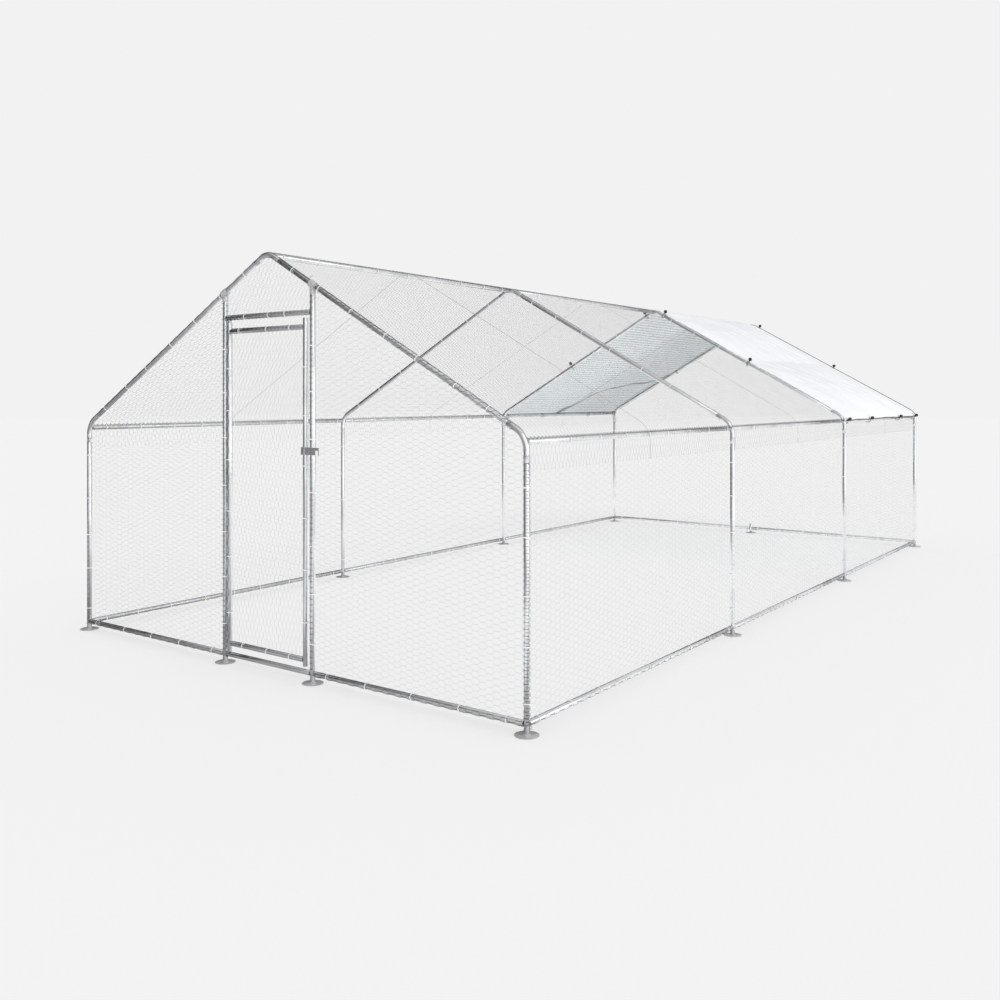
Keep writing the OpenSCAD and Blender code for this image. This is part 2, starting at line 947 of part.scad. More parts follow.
module net_roof(side) {
  color(wire)
    on_side(side)
      on_roof()
        difference() {
          union() {
            translate([0, 0, net_in])
              net_sheet(roof_outline);
            for (y = crossing_y) {
              crossing(ridge_r, 90, 90 + roof_pitch, y);
              translate([plate_l, 0, 0])
                mirror([1, 0, 0])
                  crossing(eave_r, 90, 90 + turn, y);
            }
          }
          for (i = tie_arches, x = tie_rows, s = [-1, 1])
            translate([tie_down(x), arch_y[i] + s * net_side, tube_r])
              cylinder(r = net_hole_r, h = net_gap + net_t + over);
        }
}

// Roof cover over the rear bay
cover_y0 = arch_y[third] - cover_lap;
cover_y1 = arch_y[rear] + cover_lap;

// Band of the cover round a bend, smaller by a step on all its edges
module cover_band(r, from, to, step) {
  translate([0, 0, -r])
    arc_xz(from, to)
      translate([r + cover_in + step, -cover_y1 + step])
        square([cover_t - 2 * step, cover_y1 - cover_y0 - 2 * step]);
}

// One slope of the cover, with its foot over the eave and its half of the fold over the ridge,
// where one half ends inside the other
module cover_half(step) {
  translate([0, cover_y0, cover_in])
    cube([plate_l, cover_y1 - cover_y0, cover_t]);
  cover_band(ridge_r, 90, 90 + roof_pitch + fold_lap, step);
  translate([plate_l, 0, 0])
    mirror([1, 0, 0])
      cover_band(eave_r, 90, 90 + turn - cover_foot_angle, 0);
}

// Eyelets beside the ties on the rafters and on the eave purlins
module at_rafter_eyelets() {
  for (i = tie_arches, x = tie_rows)
    on_roof()
      translate([tie_down(x), arch_y[i] + (i == rear ? -1 : 1) * eyelet_side, 0])
        children();
}

module at_eave_eyelets() {
  for (y = eave_ties)
    translate([bend_x, y, bend_z])
      rotate([0, 90 - purlin_angle - eyelet_lift, 0])
        translate([0, 0, eave_r])
          children();
}

module eyelet_hole() {
  translate([0, 0, cover_in - over])
    cylinder(d = eyelet_d, h = cover_t + 3 * over);
}

module roof_cover() {
  color(sheet_white)
    difference() {
      on_roof() {
        cover_half(fold_step);
        over_ridge()
          mirror([1, 0, 0])
            cover_half(2 * fold_step);
      }
      for (side = [left, right])
        on_side(side) {
          at_rafter_eyelets()
            eyelet_hole();
          at_eave_eyelets()
            eyelet_hole();
        }
    }
}

module eyelet() {
  translate([0, 0, cover_out + touch])
    difference() {
      cylinder(d = eyelet_d + 2 * eyelet_rim, h = eyelet_t);
      translate([0, 0, -over])
        cylinder(d = eyelet_d, h = eyelet_t + 2 * over);
    }
}

module cover_eyelets() {
  color(zinc)
    for (side = [left, right])
      on_side(side) {
        at_rafter_eyelets()
          eyelet();
        at_eave_eyelets()
          eyelet();
      }
}

module at_ties() {
  for (side = [left, right])
    on_side(side) {
      for (i = tie_arches, x = tie_rows)
        on_roof()
          translate([tie_down(x), arch_y[i], 0])
            children();
      for (y = eave_ties)
        on_purlin(y)
          children();
    }
}

module cover_loops() {
  color(black)
    at_ties()
      rotate([0, 90, 0])
        rotate_extrude()
          translate([loop_r, 0])
            circle(cord_r);
}

module cover_balls() {
  color(black)
    at_ties()
      translate([0, 0, loop_r + cord_r + touch + ball_r])
        sphere(ball_r);
}

arch_post(front, left);  // post_front_left
arch_post(front, right);  // post_front_right
arch_post(second, left);  // post_second_left
arch_post(second, right);  // post_second_right
arch_post(third, left);  // post_third_left
arch_post(third, right);  // post_third_right
arch_post(rear, left);  // post_rear_left
arch_post(rear, right);  // post_rear_right
eave_bends(front);  // eave_bends_front
eave_bends(second);  // eave_bends_second
eave_bends(third);  // eave_bends_third
eave_bends(rear);  // eave_bends_rear
rafters(front);  // rafters_front
rafters(second);  // rafters_second
rafters(third);  // rafters_third
rafters(rear);  // rafters_rear
ridge_bend(front);  // ridge_bend_front
ridge_bend(second);  // ridge_bend_second
ridge_bend(third);  // ridge_bend_third
ridge_bend(rear);  // ridge_bend_rear
eave_purlins(left);  // eave_purlins_left
eave_purlins(right);  // eave_purlins_right
ridge_purlins();
base_rails(left);  // base_rails_left
base_rails(right);  // base_rails_right
front_rail(left);  // front_rail_left
front_rail(right);  // front_rail_right
door_span(rail_z);  // threshold
rear_rails();
rear_mid_leg();
feet();
door_post(left);  // door_post_left
door_post(right);  // door_post_right
door_post_clamps();
door_span(lintel_z);  // lintel
joint_screws();
door_stile(hinge_x, 0);  // door_hinge_stile
door_stile(lock_x, 180);  // door_lock_stile
door_rail(door_top_z);  // door_top_rail
door_rail(door_bottom_z);  // door_bottom_rail
door_upper_pivot();
door_lower_pivot();
door_net();
hasp_plate();
hasp_pin();
hasp_strap();
staple();
net_front_left();
net_front_right();
net_front_gable();
net_rear();
net_wall(left);  // net_left_wall
net_wall(right);  // net_right_wall
net_roof(left);  // net_roof_left
net_roof(right);  // net_roof_right
roof_cover();
cover_eyelets();
cover_loops();
cover_balls();
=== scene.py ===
import bmesh
import bpy
import json
import math
import numpy as np
from mathutils import Matrix, Vector

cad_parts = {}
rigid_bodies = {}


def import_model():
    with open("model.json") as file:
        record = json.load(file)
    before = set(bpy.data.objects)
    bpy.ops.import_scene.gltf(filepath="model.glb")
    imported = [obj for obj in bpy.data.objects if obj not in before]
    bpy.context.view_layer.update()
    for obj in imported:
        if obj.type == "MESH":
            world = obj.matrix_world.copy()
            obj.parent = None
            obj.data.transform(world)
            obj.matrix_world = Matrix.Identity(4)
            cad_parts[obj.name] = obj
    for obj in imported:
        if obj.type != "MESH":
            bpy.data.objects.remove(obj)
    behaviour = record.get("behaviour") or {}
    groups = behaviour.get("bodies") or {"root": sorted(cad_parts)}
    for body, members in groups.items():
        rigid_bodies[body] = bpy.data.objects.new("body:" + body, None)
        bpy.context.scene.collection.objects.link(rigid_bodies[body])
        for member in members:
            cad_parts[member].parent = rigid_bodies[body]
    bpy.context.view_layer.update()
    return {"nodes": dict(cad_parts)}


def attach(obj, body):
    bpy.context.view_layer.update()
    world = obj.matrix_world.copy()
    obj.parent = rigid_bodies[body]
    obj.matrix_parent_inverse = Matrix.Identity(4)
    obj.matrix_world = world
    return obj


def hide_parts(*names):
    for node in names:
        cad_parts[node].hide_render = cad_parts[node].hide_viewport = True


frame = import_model()

# The run's own sizes, in metres, as in the part's source
HALF_W, HALF_L, EAVE_H = 1.5, 3.0, 1.16
PITCH = math.radians(29.3)
COS_P, SIN_P, TAN_P = math.cos(PITCH), math.sin(PITCH), math.tan(PITCH)
TUBE_R, PLUG_END, LEG_L, SWAGE = 0.0125, 0.013, 0.046, 0.0003
EAVE_R, RIDGE_R = 0.1, 0.09
PURLIN_ANGLE = math.radians(22)
RAIL_Z, FOOT_T, MID_LEG_H = 0.045, 0.003, 0.0858
DOOR_POST_X, LINTEL_Z = 0.31, 1.703
HINGE_X, LOCK_X = -0.277, 0.263
DOOR_TOP_Z, DOOR_BOTTOM_Z, STILE_GAP = 1.635, 0.1, 0.013
HASP_Z, STRAP_H = 1.064, 0.034
COVER_LAP, COVER_T = 0.004, 0.001
EYELET_RISE, LOOP_ROOM, CORD_R, BALL_R = 0.0009, 0.001, 0.002, 0.0135
RIDGE_TIE_X, MID_TIE_X, CORNER_TIE_Y = 0.075, 0.78, 0.045

ARCH_Y = [-3.0, -1.0, 1.0, 3.0]
BAY_L = 2.0
FRONT_Y, REAR_Y = ARCH_Y[0], ARCH_Y[-1]
TURN = math.pi / 2 - PITCH
EAVE_T = EAVE_R * math.tan(TURN / 2)
BEND_Z = EAVE_H - EAVE_T
BEND_X = HALF_W - EAVE_R
POST_TOP = BEND_Z - LEG_L
SLOPE_L = HALF_W / COS_P
APEX_Z = EAVE_H + HALF_W * TAN_P
RIDGE_T = RIDGE_R * TAN_P
RIDGE_C = APEX_Z - RIDGE_R / COS_P
RIDGE_Z = RIDGE_C + RIDGE_R
PLATE_L = SLOPE_L - RIDGE_T - EAVE_T
RAFTER_ENDS = (EAVE_T + LEG_L, SLOPE_L - RIDGE_T - LEG_L)
PURLIN_X = BEND_X + EAVE_R * math.cos(PURLIN_ANGLE)
PURLIN_Z = BEND_Z + EAVE_R * math.sin(PURLIN_ANGLE)
RAFTER_AT_DOOR = EAVE_H + (HALF_W - DOOR_POST_X) * TAN_P
STILE_Z0 = RAIL_Z + TUBE_R + STILE_GAP
STILE_Z1 = LINTEL_Z - TUBE_R - STILE_GAP
NET_OUT = TUBE_R + 0.0013
COVER_IN = TUBE_R + 0.0026
COVER_MID = COVER_IN + COVER_T / 2
EYELET_TOP = COVER_IN + COVER_T + EYELET_RISE
LOOP_IN = EYELET_TOP + LOOP_ROOM
LOOP_OUT = LOOP_IN + 2 * CORD_R
LOOP_R = LOOP_IN + CORD_R
CLAMP_R = TUBE_R + 0.00315
HEAD_DROP = (CLAMP_R + TUBE_R * SIN_P) / COS_P
DOOR_POST_TOP = RAFTER_AT_DOOR - HEAD_DROP
SIDES = {"left": -1, "right": 1}
BOTH = tuple(SIDES.values())
ARCHES = ["front", "second", "third", "rear"]


# Node trees and materials
class Nodes:
    """A node tree with short calls for the nodes that finishes, shapes and the studio need."""

    def __init__(self, tree):
        self.nodes, self.links = tree.nodes, tree.links

    def feed(self, value, socket):
        """Links an output to a socket, or sets a plain value on it."""
        if hasattr(value, "is_output"):
            self.links.new(value, socket)
        else:
            socket.default_value = value

    def node(self, kind, **values):
        node = self.nodes.new(kind)
        for label, value in values.items():
            self.feed(value, node.inputs[label.replace("_", " ")])
        return node

    def math(self, operation, *values):
        node = self.nodes.new("ShaderNodeVectorMath" if operation == "DOT_PRODUCT" else "ShaderNodeMath")
        node.operation = operation
        for socket, value in zip(node.inputs, values):
            self.feed(value, socket)
        return node.outputs["Value"]

    def ranged(self, value, low, high, span=(0.0, 1.0), kind="LINEAR"):
        """A change from one level to another while a value runs over a span."""
        node = self.node(
            "ShaderNodeMapRange", Value=value, From_Min=span[0], From_Max=span[1], To_Min=low, To_Max=high)
        node.interpolation_type = kind
        return node.outputs["Result"]

    def toward(self, place, way, span, low, high):
        """A smooth change from one level to another over a span along a direction."""
        return self.ranged(self.math("DOT_PRODUCT", place, way), low, high, span, "SMOOTHSTEP")

    def mix(self, fac, a, b, blend=None):
        """A blend of two levels or, with a blend mode, of two colours."""
        node = self.nodes.new("ShaderNodeMix")
        first, out = (6, 2) if blend else (2, 0)
        if blend:
            node.data_type = "RGBA"
            node.blend_type = blend
        for k, value in ((0, fac), (first, a), (first + 1, b)):
            self.feed(value, node.inputs[k])
        return node.outputs[out]

    def seen(self, *rays):
        """1 on rays of the given kinds and 0 on all others."""
        path = self.nodes.new("ShaderNodeLightPath")
        seen = path.outputs[rays[0]]
        for ray in rays[1:]:
            seen = self.math("MAXIMUM", seen, path.outputs[ray])
        return seen


class Finish(Nodes):
    """A material whose patterns lie on Object coordinates or on the piece's UV map."""

    def __init__(self, name, color, metallic, roughness):
        self.material = bpy.data.materials.new(name)
        self.material.use_nodes = True
        self.material.diffuse_color = (*color, 1)
        super().__init__(self.material.node_tree)
        self.shader = self.nodes["Principled BSDF"]
        self.set("Base Color", (*color, 1))
        self.set("Metallic", metallic)
        self.set("Roughness", roughness)
        self.place = self.nodes.new("ShaderNodeTexCoord")

    def set(self, label, value):
        self.feed(value, self.shader.inputs[label])

    def coords(self, scale, source="Object", turn=0.0):
        place = self.place.outputs[source]
        mapping = self.node("ShaderNodeMapping", Vector=place, Scale=(scale,) * 3, Rotation=(0, 0, turn))
        return mapping.outputs["Vector"]

    def noise(self, scale, detail, source="Object"):
        place = self.coords(scale, source)
        return self.node("ShaderNodeTexNoise", Vector=place, Scale=1.0, Detail=detail).outputs["Fac"]

    def ramp(self, fac, stops):
        ramp = self.node("ShaderNodeValToRGB", Fac=fac)
        for element, (at, color) in zip(ramp.color_ramp.elements, stops):
            element.position = at
            element.color = (*color, 1)
        return ramp.outputs["Color"]

    def bump(self, height, strength, distance):
        bump = self.node("ShaderNodeBump", Height=height, Strength=strength, Distance=distance)
        self.set("Normal", bump.outputs["Normal"])


# Patterns of the finishes, in repeats per metre, and how strongly they show
SPANGLE_SCALE, RUNS_SCALE, SMEAR_SCALE, GRAIN_SCALE = 130, 7, 40, 420
TAPE_SCALE, CREASE_SCALE = 62, 2.2
SCUFF_SCALE, MOULD_SCALE, BRAID_SCALE = 90, 900, 420
SPANGLE_SHARE, TAPE_SHARE = 0.16, 0.05


def galvanised(name, dark, light, rough, metallic=1.0):
    """Zinc-coated steel: crystal spangle, cloudy runs of the coating and a fine grain."""
    finish = Finish(name, light, metallic, rough)
    spangle = finish.node("ShaderNodeTexVoronoi", Vector=finish.coords(SPANGLE_SCALE), Scale=1.0)
    tone = finish.ramp(finish.noise(RUNS_SCALE, 5.0), [(0.3, dark), (0.7, light)])
    finish.set("Base Color", finish.mix(SPANGLE_SHARE, tone, spangle.outputs["Color"], "OVERLAY"))
    finish.set("Roughness", finish.ranged(finish.noise(SMEAR_SCALE, 4.0), rough - 0.08, rough + 0.1))
    finish.bump(finish.noise(GRAIN_SCALE, 2.0), 0.12, 0.0004)
    return finish.material


def sheet_finish(name, color, shade, rough, painted_shade_color, glow=0.0):
    """Coated woven sheet: crossing tapes, soft creases in its tone, a waxy surface, painted shade from a
    point attribute, strongest in the pleat, and a painted glow that stands in for the light that comes
    through it."""
    finish = Finish(name, color, 0.0, rough)
    waves = []
    for turn in (0.0, math.pi / 2):
        place = finish.coords(TAPE_SCALE, "UV", turn)
        wave = finish.node("ShaderNodeTexWave", Vector=place, Scale=1.0, Distortion=0.4)
        waves.append(wave.outputs["Fac"])
    weave = finish.mix(0.5, *waves, "MULTIPLY")
    creases = finish.noise(CREASE_SCALE, 4.0, "UV")
    tone = finish.ramp(creases, [(0.3, shade), (0.65, color)])
    woven = finish.mix(TAPE_SHARE, tone, weave, "MULTIPLY")
    # Painted shade: a point attribute darkens the sheet in the pleat and over the left slope's rear half.
    painted_shade = finish.node("ShaderNodeAttribute")
    painted_shade.attribute_name = "painted_shade"
    shaded_tone = finish.mix(painted_shade.outputs["Fac"], woven, (*painted_shade_color, 1), "MIX")
    finish.set("Base Color", shaded_tone)
    # Painted light: the sheet glows in its own colour by the given strength.
    finish.set("Emission Color", shaded_tone)
    finish.set("Emission Strength", glow)
    finish.set("Roughness", finish.ranged(creases, rough - 0.06, rough + 0.08))
    finish.bump(weave, 0.2, 0.0006)
    return finish.material


def moulded(name, dark, light, rough):
    """Moulded plastic or dense cord: a fine grain with scuffed, paler patches."""
    finish = Finish(name, dark, 0.0, rough)
    scuffs = finish.noise(SCUFF_SCALE, 6.0)
    finish.set("Base Color", finish.ramp(scuffs, [(0.45, dark), (0.8, light)]))
    finish.set("Roughness", finish.ranged(scuffs, rough - 0.08, rough + 0.15))
    finish.bump(finish.noise(MOULD_SCALE, 2.0), 0.15, 0.0003)
    return finish.material


def braid(name, dark, light):
    """Woven cover of an elastic cord, with its braid running round the cord."""
    finish = Finish(name, dark, 0.0, 0.7)
    wave = finish.node("ShaderNodeTexWave", Vector=finish.coords(BRAID_SCALE), Scale=1.0, Distortion=1.0)
    wave.bands_direction = "DIAGONAL"
    finish.set("Base Color", finish.ramp(wave.outputs["Fac"], [(0.2, dark), (0.9, light)]))
    finish.bump(wave.outputs["Fac"], 0.4, 0.0005)
    return finish.material


tube_zinc = galvanised("tube_zinc", (0.63, 0.643, 0.66), (0.83, 0.842, 0.855), 0.17)
# Darker, rougher copy of the tube zinc for the left side's eave purlins and base rails: painted shade on
# the side away from the lamps; the tubes are the same on both sides.
left_zinc_painted_shade = galvanised("left_zinc_painted_shade", (0.47, 0.48, 0.49), (0.62, 0.63, 0.64), 0.26)
plated = galvanised("plated_steel", (0.4, 0.41, 0.42), (0.52, 0.53, 0.54), 0.34)
hasp_zinc = galvanised("hasp_zinc", (0.5, 0.505, 0.515), (0.62, 0.625, 0.635), 0.36)
foot_zinc = galvanised("foot_zinc", (0.5, 0.505, 0.51), (0.62, 0.625, 0.63), 0.38, 0.5)
wire_zinc = galvanised("wire_zinc", (0.52, 0.525, 0.53), (0.68, 0.685, 0.69), 0.36)
roof_wire = galvanised("roof_wire", (0.36, 0.365, 0.37), (0.5, 0.505, 0.51), 0.36)
# Dark copy of the wire's zinc for the roof net under the cover: painted shade; the wire is the same as
# elsewhere.
covered_wire_painted_shade = galvanised("covered_wire_painted_shade", (0.14, 0.143, 0.146), (0.22, 0.224, 0.228), 0.5)
# Darker copy of the wire's zinc for wires wrapped round tubes and for lacing: painted shade; the wire is
# the same as in the open net.
wrap_wire_painted_shade = galvanised("wrap_wire_painted_shade", (0.14, 0.142, 0.145), (0.26, 0.263, 0.267), 0.45)
eyelet_zinc = galvanised("eyelet_zinc", (0.6, 0.61, 0.62), (0.75, 0.76, 0.77), 0.28)
# The last colour of each sheet is its painted shade in the pleat and over the left slope's rear half.
sheet_top = sheet_finish("sheet_top", (0.895, 0.905, 0.935), (0.86, 0.872, 0.905), 0.42, (0.8, 0.81, 0.84))
# The underside's glow of 0.24 is painted light that stands in for light coming through the sheet.
sheet_under = sheet_finish(
    "sheet_under", (0.885, 0.93, 0.94), (0.82, 0.875, 0.89), 0.5, (0.1, 0.12, 0.125), 0.24)
# Near-black hem cord: painted shade along the sheet's edges.
hem_painted_shade = moulded("hem_painted_shade", (0.035, 0.036, 0.038), (0.07, 0.072, 0.075), 0.6)
ball_black = moulded("ball_black", (0.012, 0.012, 0.013), (0.04, 0.04, 0.043), 0.38)
cord_black = braid("cord_black", (0.01, 0.01, 0.011), (0.05, 0.05, 0.052))
tie_white = moulded("tie_white", (0.86, 0.87, 0.87), (0.93, 0.93, 0.93), 0.42)


# Meshes
def mesh_of(name, points, edges=(), faces=(), **attributes):
    mesh = bpy.data.meshes.new(name)
    mesh.from_pydata([tuple(p) for p in points], [tuple(e) for e in edges], [tuple(f) for f in faces])
    for label, values in attributes.items():
        values = np.asarray(values, dtype=np.float32)
        kind = "FLOAT_VECTOR" if values.ndim == 2 else "FLOAT"
        layer = mesh.attributes.new(label, kind, "POINT")
        layer.data.foreach_set("vector" if values.ndim == 2 else "value", values.ravel())
    return mesh


def path_mesh(name, paths):
    """Edges along paths of (point, width) pairs."""
    points, widths, edges = [], [], []
    for path in paths:
        base = len(points)
        points += [p for p, _ in path]
        widths += [w for _, w in path]
        edges += [(base + k, base + k + 1) for k in range(len(path) - 1)]
    return mesh_of(name, points, edges, width=widths)


def add_object(name, data):
    obj = bpy.data.objects.new(name, data)
    bpy.context.scene.collection.objects.link(obj)
    return obj


def mesh_from(work, name):
    """The plain mesh of finished work, which is then let go."""
    mesh = bpy.data.meshes.new(name)
    work.to_mesh(mesh)
    work.free()
    return mesh


def joined_mesh(name, parts):
    """One mesh from copies of several, each with the matrix that places it."""
    work = bmesh.new()
    for mesh, place in parts:
        copy = mesh.copy()
        copy.transform(place)
        work.from_mesh(copy)
    return mesh_from(work, name)


SHARP = math.radians(38)


def smooth_mesh(mesh):
    """Smooth shading with a crisp line wherever two faces meet at a sharp angle."""
    work = bmesh.new()
    work.from_mesh(mesh)
    for face in work.faces:
        face.smooth = True
    for edge in work.edges:
        edge.smooth = edge.calc_face_angle(0.0) < SHARP
    work.to_mesh(mesh)
    work.free()


def lathe_mesh(name, profile, steps):
    """Closed solid of revolution about Z from a profile of (radius, height) points, bottom to top."""
    work = bmesh.new()
    rings = []
    for r, z in profile:
        if r < 1e-6:
            rings.append([work.verts.new((0, 0, z))])
            continue
        angles = [2 * math.pi * k / steps for k in range(steps)]
        rings.append([work.verts.new((r * math.cos(a), r * math.sin(a), z)) for a in angles])
    if profile[0] == profile[-1]:
        rings[-1] = rings[0]
    for low, high in zip(rings, rings[1:]):
        for k in range(steps):
            n = (k + 1) % steps
            corners = [low[k % len(low)], low[n % len(low)], high[n % len(high)], high[k % len(high)]]
            corners = list(dict.fromkeys(corners))
            if len(corners) > 2:
                work.faces.new(corners)
    bmesh.ops.delete(work, geom=[v for v in work.verts if not v.link_faces], context="VERTS")
    bmesh.ops.recalc_face_normals(work, faces=work.faces)
    return mesh_from(work, name)


# Geometry Nodes
class Tree(Nodes):
    """A Geometry Nodes tree with named inputs, whose result gets realized and takes one material."""

    def __init__(self, name, inputs):
        self.tree = bpy.data.node_groups.new(name, "GeometryNodeTree")
        super().__init__(self.tree)
        face = self.tree.interface
        face.new_socket("Geometry", in_out="INPUT", socket_type="NodeSocketGeometry")
        self.ids = {}
        for label, kind in (*inputs, ("Material", "Material")):
            socket = face.new_socket(label, in_out="INPUT", socket_type="NodeSocket" + kind)
            self.ids[label] = socket.identifier
        face.new_socket("Geometry", in_out="OUTPUT", socket_type="NodeSocketGeometry")
        self.input = self.nodes.new("NodeGroupInput")

    def attribute(self, label, kind="FLOAT"):
        node = self.node("GeometryNodeInputNamedAttribute", Name=label)
        node.data_type = kind
        return node.outputs[0]

    def close(self, geometry):
        real = self.node("GeometryNodeRealizeInstances", Geometry=geometry)
        material = self.input.outputs["Material"]
        dressed = self.node("GeometryNodeSetMaterial", Geometry=real.outputs[0], Material=material)
        out = self.nodes.new("NodeGroupOutput")
        self.feed(dressed.outputs[0], out.inputs[0])

    def make(self, name, mesh, **values):
        """The tree's result on a mesh, as a new object with a plain mesh."""
        source = add_object(name + "_source", mesh)
        modifier = source.modifiers.new("nodes", "NODES")
        modifier.node_group = self.tree
        for label, value in values.items():
            modifier[self.ids[label]] = value
        depsgraph = bpy.context.evaluated_depsgraph_get()
        result = bpy.data.meshes.new_from_object(source.evaluated_get(depsgraph))
        bpy.data.objects.remove(source)
        result.name = name
        return add_object(name, result)


def bar_tree(name):
    """Round bars along the edges of a mesh, each point's width taken from the attribute of that name."""
    tree = Tree(name, [("Radius", "Float"), ("Sides", "Int"), ("Caps", "Bool")])
    sizes = tree.input.outputs
    ring = tree.node("GeometryNodeCurvePrimitiveCircle", Resolution=sizes["Sides"], Radius=sizes["Radius"])
    path = tree.node("GeometryNodeMeshToCurve", Mesh=sizes["Geometry"])
    bars = tree.node(
        "GeometryNodeCurveToMesh",
        Curve=path.outputs[0],
        Profile_Curve=ring.outputs["Curve"],
        Scale=tree.attribute("width"),
        Fill_Caps=sizes["Caps"],
    )
    tree.close(bars.outputs[0])
    return tree


def copies_tree(name):
    """Copies of one piece on the points of a mesh, turned by the attribute of that name."""
    tree = Tree(name, [("Piece", "Object")])
    piece = tree.node("GeometryNodeObjectInfo", Object=tree.input.outputs["Piece"])
    turn = tree.node("FunctionNodeEulerToRotation", Euler=tree.attribute("turn", "FLOAT_VECTOR"))
    copies = tree.node(
        "GeometryNodeInstanceOnPoints",
        Points=tree.input.outputs["Geometry"],
        Instance=piece.outputs["Geometry"],
        Rotation=turn.outputs[0],
    )
    tree.close(copies.outputs[0])
    return tree


bars = bar_tree("bars_along_edges")
copies = copies_tree("copies_on_points")


def finish_piece(obj, body, nodes=()):
    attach(obj, body)
    if nodes:
        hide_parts(*nodes)
    return obj


def copies_piece(name, template, places, material, body, nodes=()):
    """One piece of copies of a template mesh; a place is a point with its X and Z directions."""
    stamp = add_object(name + "_stamp", template)
    turns = []
    for _, x, z in places:
        z = Vector(z).normalized()
        y = z.cross(Vector(x)).normalized()
        turns.append(Matrix((y.cross(z), y, z)).transposed().to_euler())
    mesh = mesh_of(name, [p for p, _, _ in places], turn=[tuple(t) for t in turns])
    obj = copies.make(name, mesh, Piece=stamp, Material=material)
    bpy.data.objects.remove(stamp)
    smooth_mesh(obj.data)
    return finish_piece(obj, body, nodes)


# Frame tubes
END_ROUND, END_SHARE = 0.0012, 0.93
ARC_STEP = math.radians(3)
TUBE_SIDES = 28


def polar(cx, cz, r, a):
    """Point of an arc in the plane of an arch."""
    return cx + r * math.cos(a), cz + r * math.sin(a)


def straight(p0, p1):
    """Path of a straight tube with its ends slightly drawn in, as (point, width) pairs."""
    p0, p1 = Vector(p0), Vector(p1)
    step = (p1 - p0).normalized() * END_ROUND
    return [(p0, END_SHARE), (p0 + step, 1.0), (p1 - step, 1.0), (p1, END_SHARE)]


def bent(cx, cz, y, r, start, end, side):
    """Path of a bend with its two swaged legs, about a centre in the plane of an arch."""
    arc_w = 1 - SWAGE / TUBE_R
    leg = [(LEG_L, END_SHARE), (LEG_L - END_ROUND, 1.0), (END_ROUND, 1.0), (0.0, arc_w)]
    count = math.ceil((end - start) / ARC_STEP)
    path = []
    for k in range(count + 1):
        a = start + (end - start) * k / count if k < count else end
        x, z = polar(cx, cz, r, a)
        at, along = Vector((x, y, z)), Vector((-math.sin(a), 0, math.cos(a)))
        if k == 0:
            path += [(at - along * d, w) for d, w in leg]
        elif k < count:
            path.append((at, arc_w))
        else:
            path += [(at + along * d, w) for d, w in leg[::-1]]
    return [(Vector((p.x * side, p.y, p.z)), w) for p, w in path]


def tubes(node, paths, body="run", material=tube_zinc):
    mesh = path_mesh(node, paths)
    obj = bars.make(node + "_tube", mesh, Radius=TUBE_R, Sides=TUBE_SIDES, Caps=True, Material=material)
    smooth_mesh(obj.data)
    return finish_piece(obj, body, [node])


def bay_tubes(x, z):
    """Paths of the tubes between the arches, one per bay."""
    return [straight((x, a + PLUG_END, z), (x, b - PLUG_END, z)) for a, b in zip(ARCH_Y, ARCH_Y[1:])]


def on_slope(up, y, out=0.0, side=1):
    """Point on a roof slope at a distance up from the eave corner and outwards from the rafters' axes."""
    x = HALF_W - up * COS_P + out * SIN_P
    z = EAVE_H + up * SIN_P + out * COS_P
    return Vector((side * x, y, z))


for i, arch in enumerate(ARCHES):
    y = ARCH_Y[i]
    for label, side in SIDES.items():
        x = side * HALF_W
        tubes(f"post_{arch}_{label}", [straight((x, y, FOOT_T), (x, y, POST_TOP))])
    tubes(f"eave_bends_{arch}", [bent(BEND_X, BEND_Z, y, EAVE_R, 0, TURN, s) for s in BOTH])
    tubes(f"ridge_bend_{arch}", [bent(0, RIDGE_C, y, RIDGE_R, TURN, math.pi - TURN, 1)])
    rafters = [[on_slope(u, y, 0, s) for u in RAFTER_ENDS] for s in BOTH]
    tubes(f"rafters_{arch}", [straight(*ends) for ends in rafters])
for label, side in SIDES.items():
    # The left side's purlins and rails take the darker copy of the zinc: painted shade.
    zinc = left_zinc_painted_shade if side < 0 else tube_zinc
    tubes(f"eave_purlins_{label}", bay_tubes(side * PURLIN_X, PURLIN_Z), "run", zinc)
    tubes(f"base_rails_{label}", bay_tubes(side * HALF_W, RAIL_Z), "run", zinc)
    ends = (side * (DOOR_POST_X + PLUG_END), side * (HALF_W - PLUG_END))
    tubes(f"front_rail_{label}", [straight(*((x, FRONT_Y, RAIL_Z) for x in ends))])
    x = side * DOOR_POST_X
    tubes(f"door_post_{label}", [straight((x, FRONT_Y, FOOT_T), (x, FRONT_Y, DOOR_POST_TOP))])
tubes("ridge_purlins", bay_tubes(0, RIDGE_Z))
ends = (PLUG_END, HALF_W - PLUG_END)
tubes("rear_rails", [straight(*((s * x, REAR_Y, RAIL_Z) for x in ends)) for s in BOTH])
tubes("rear_mid_leg", [straight((0, REAR_Y, FOOT_T), (0, REAR_Y, MID_LEG_H))])
reach = DOOR_POST_X - PLUG_END
for node, z in (("threshold", RAIL_Z), ("lintel", LINTEL_Z)):
    tubes(node, [straight((-reach, FRONT_Y, z), (reach, FRONT_Y, z))])
for node, x in (("door_hinge_stile", HINGE_X), ("door_lock_stile", LOCK_X)):
    tubes(node, [straight((x, FRONT_Y, STILE_Z0), (x, FRONT_Y, STILE_Z1))], "door")
ends = (HINGE_X + PLUG_END, LOCK_X - PLUG_END)
for node, z in (("door_top_rail", DOOR_TOP_Z), ("door_bottom_rail", DOOR_BOTTOM_Z)):
    tubes(node, [straight(*((x, FRONT_Y, z) for x in ends))], "door")


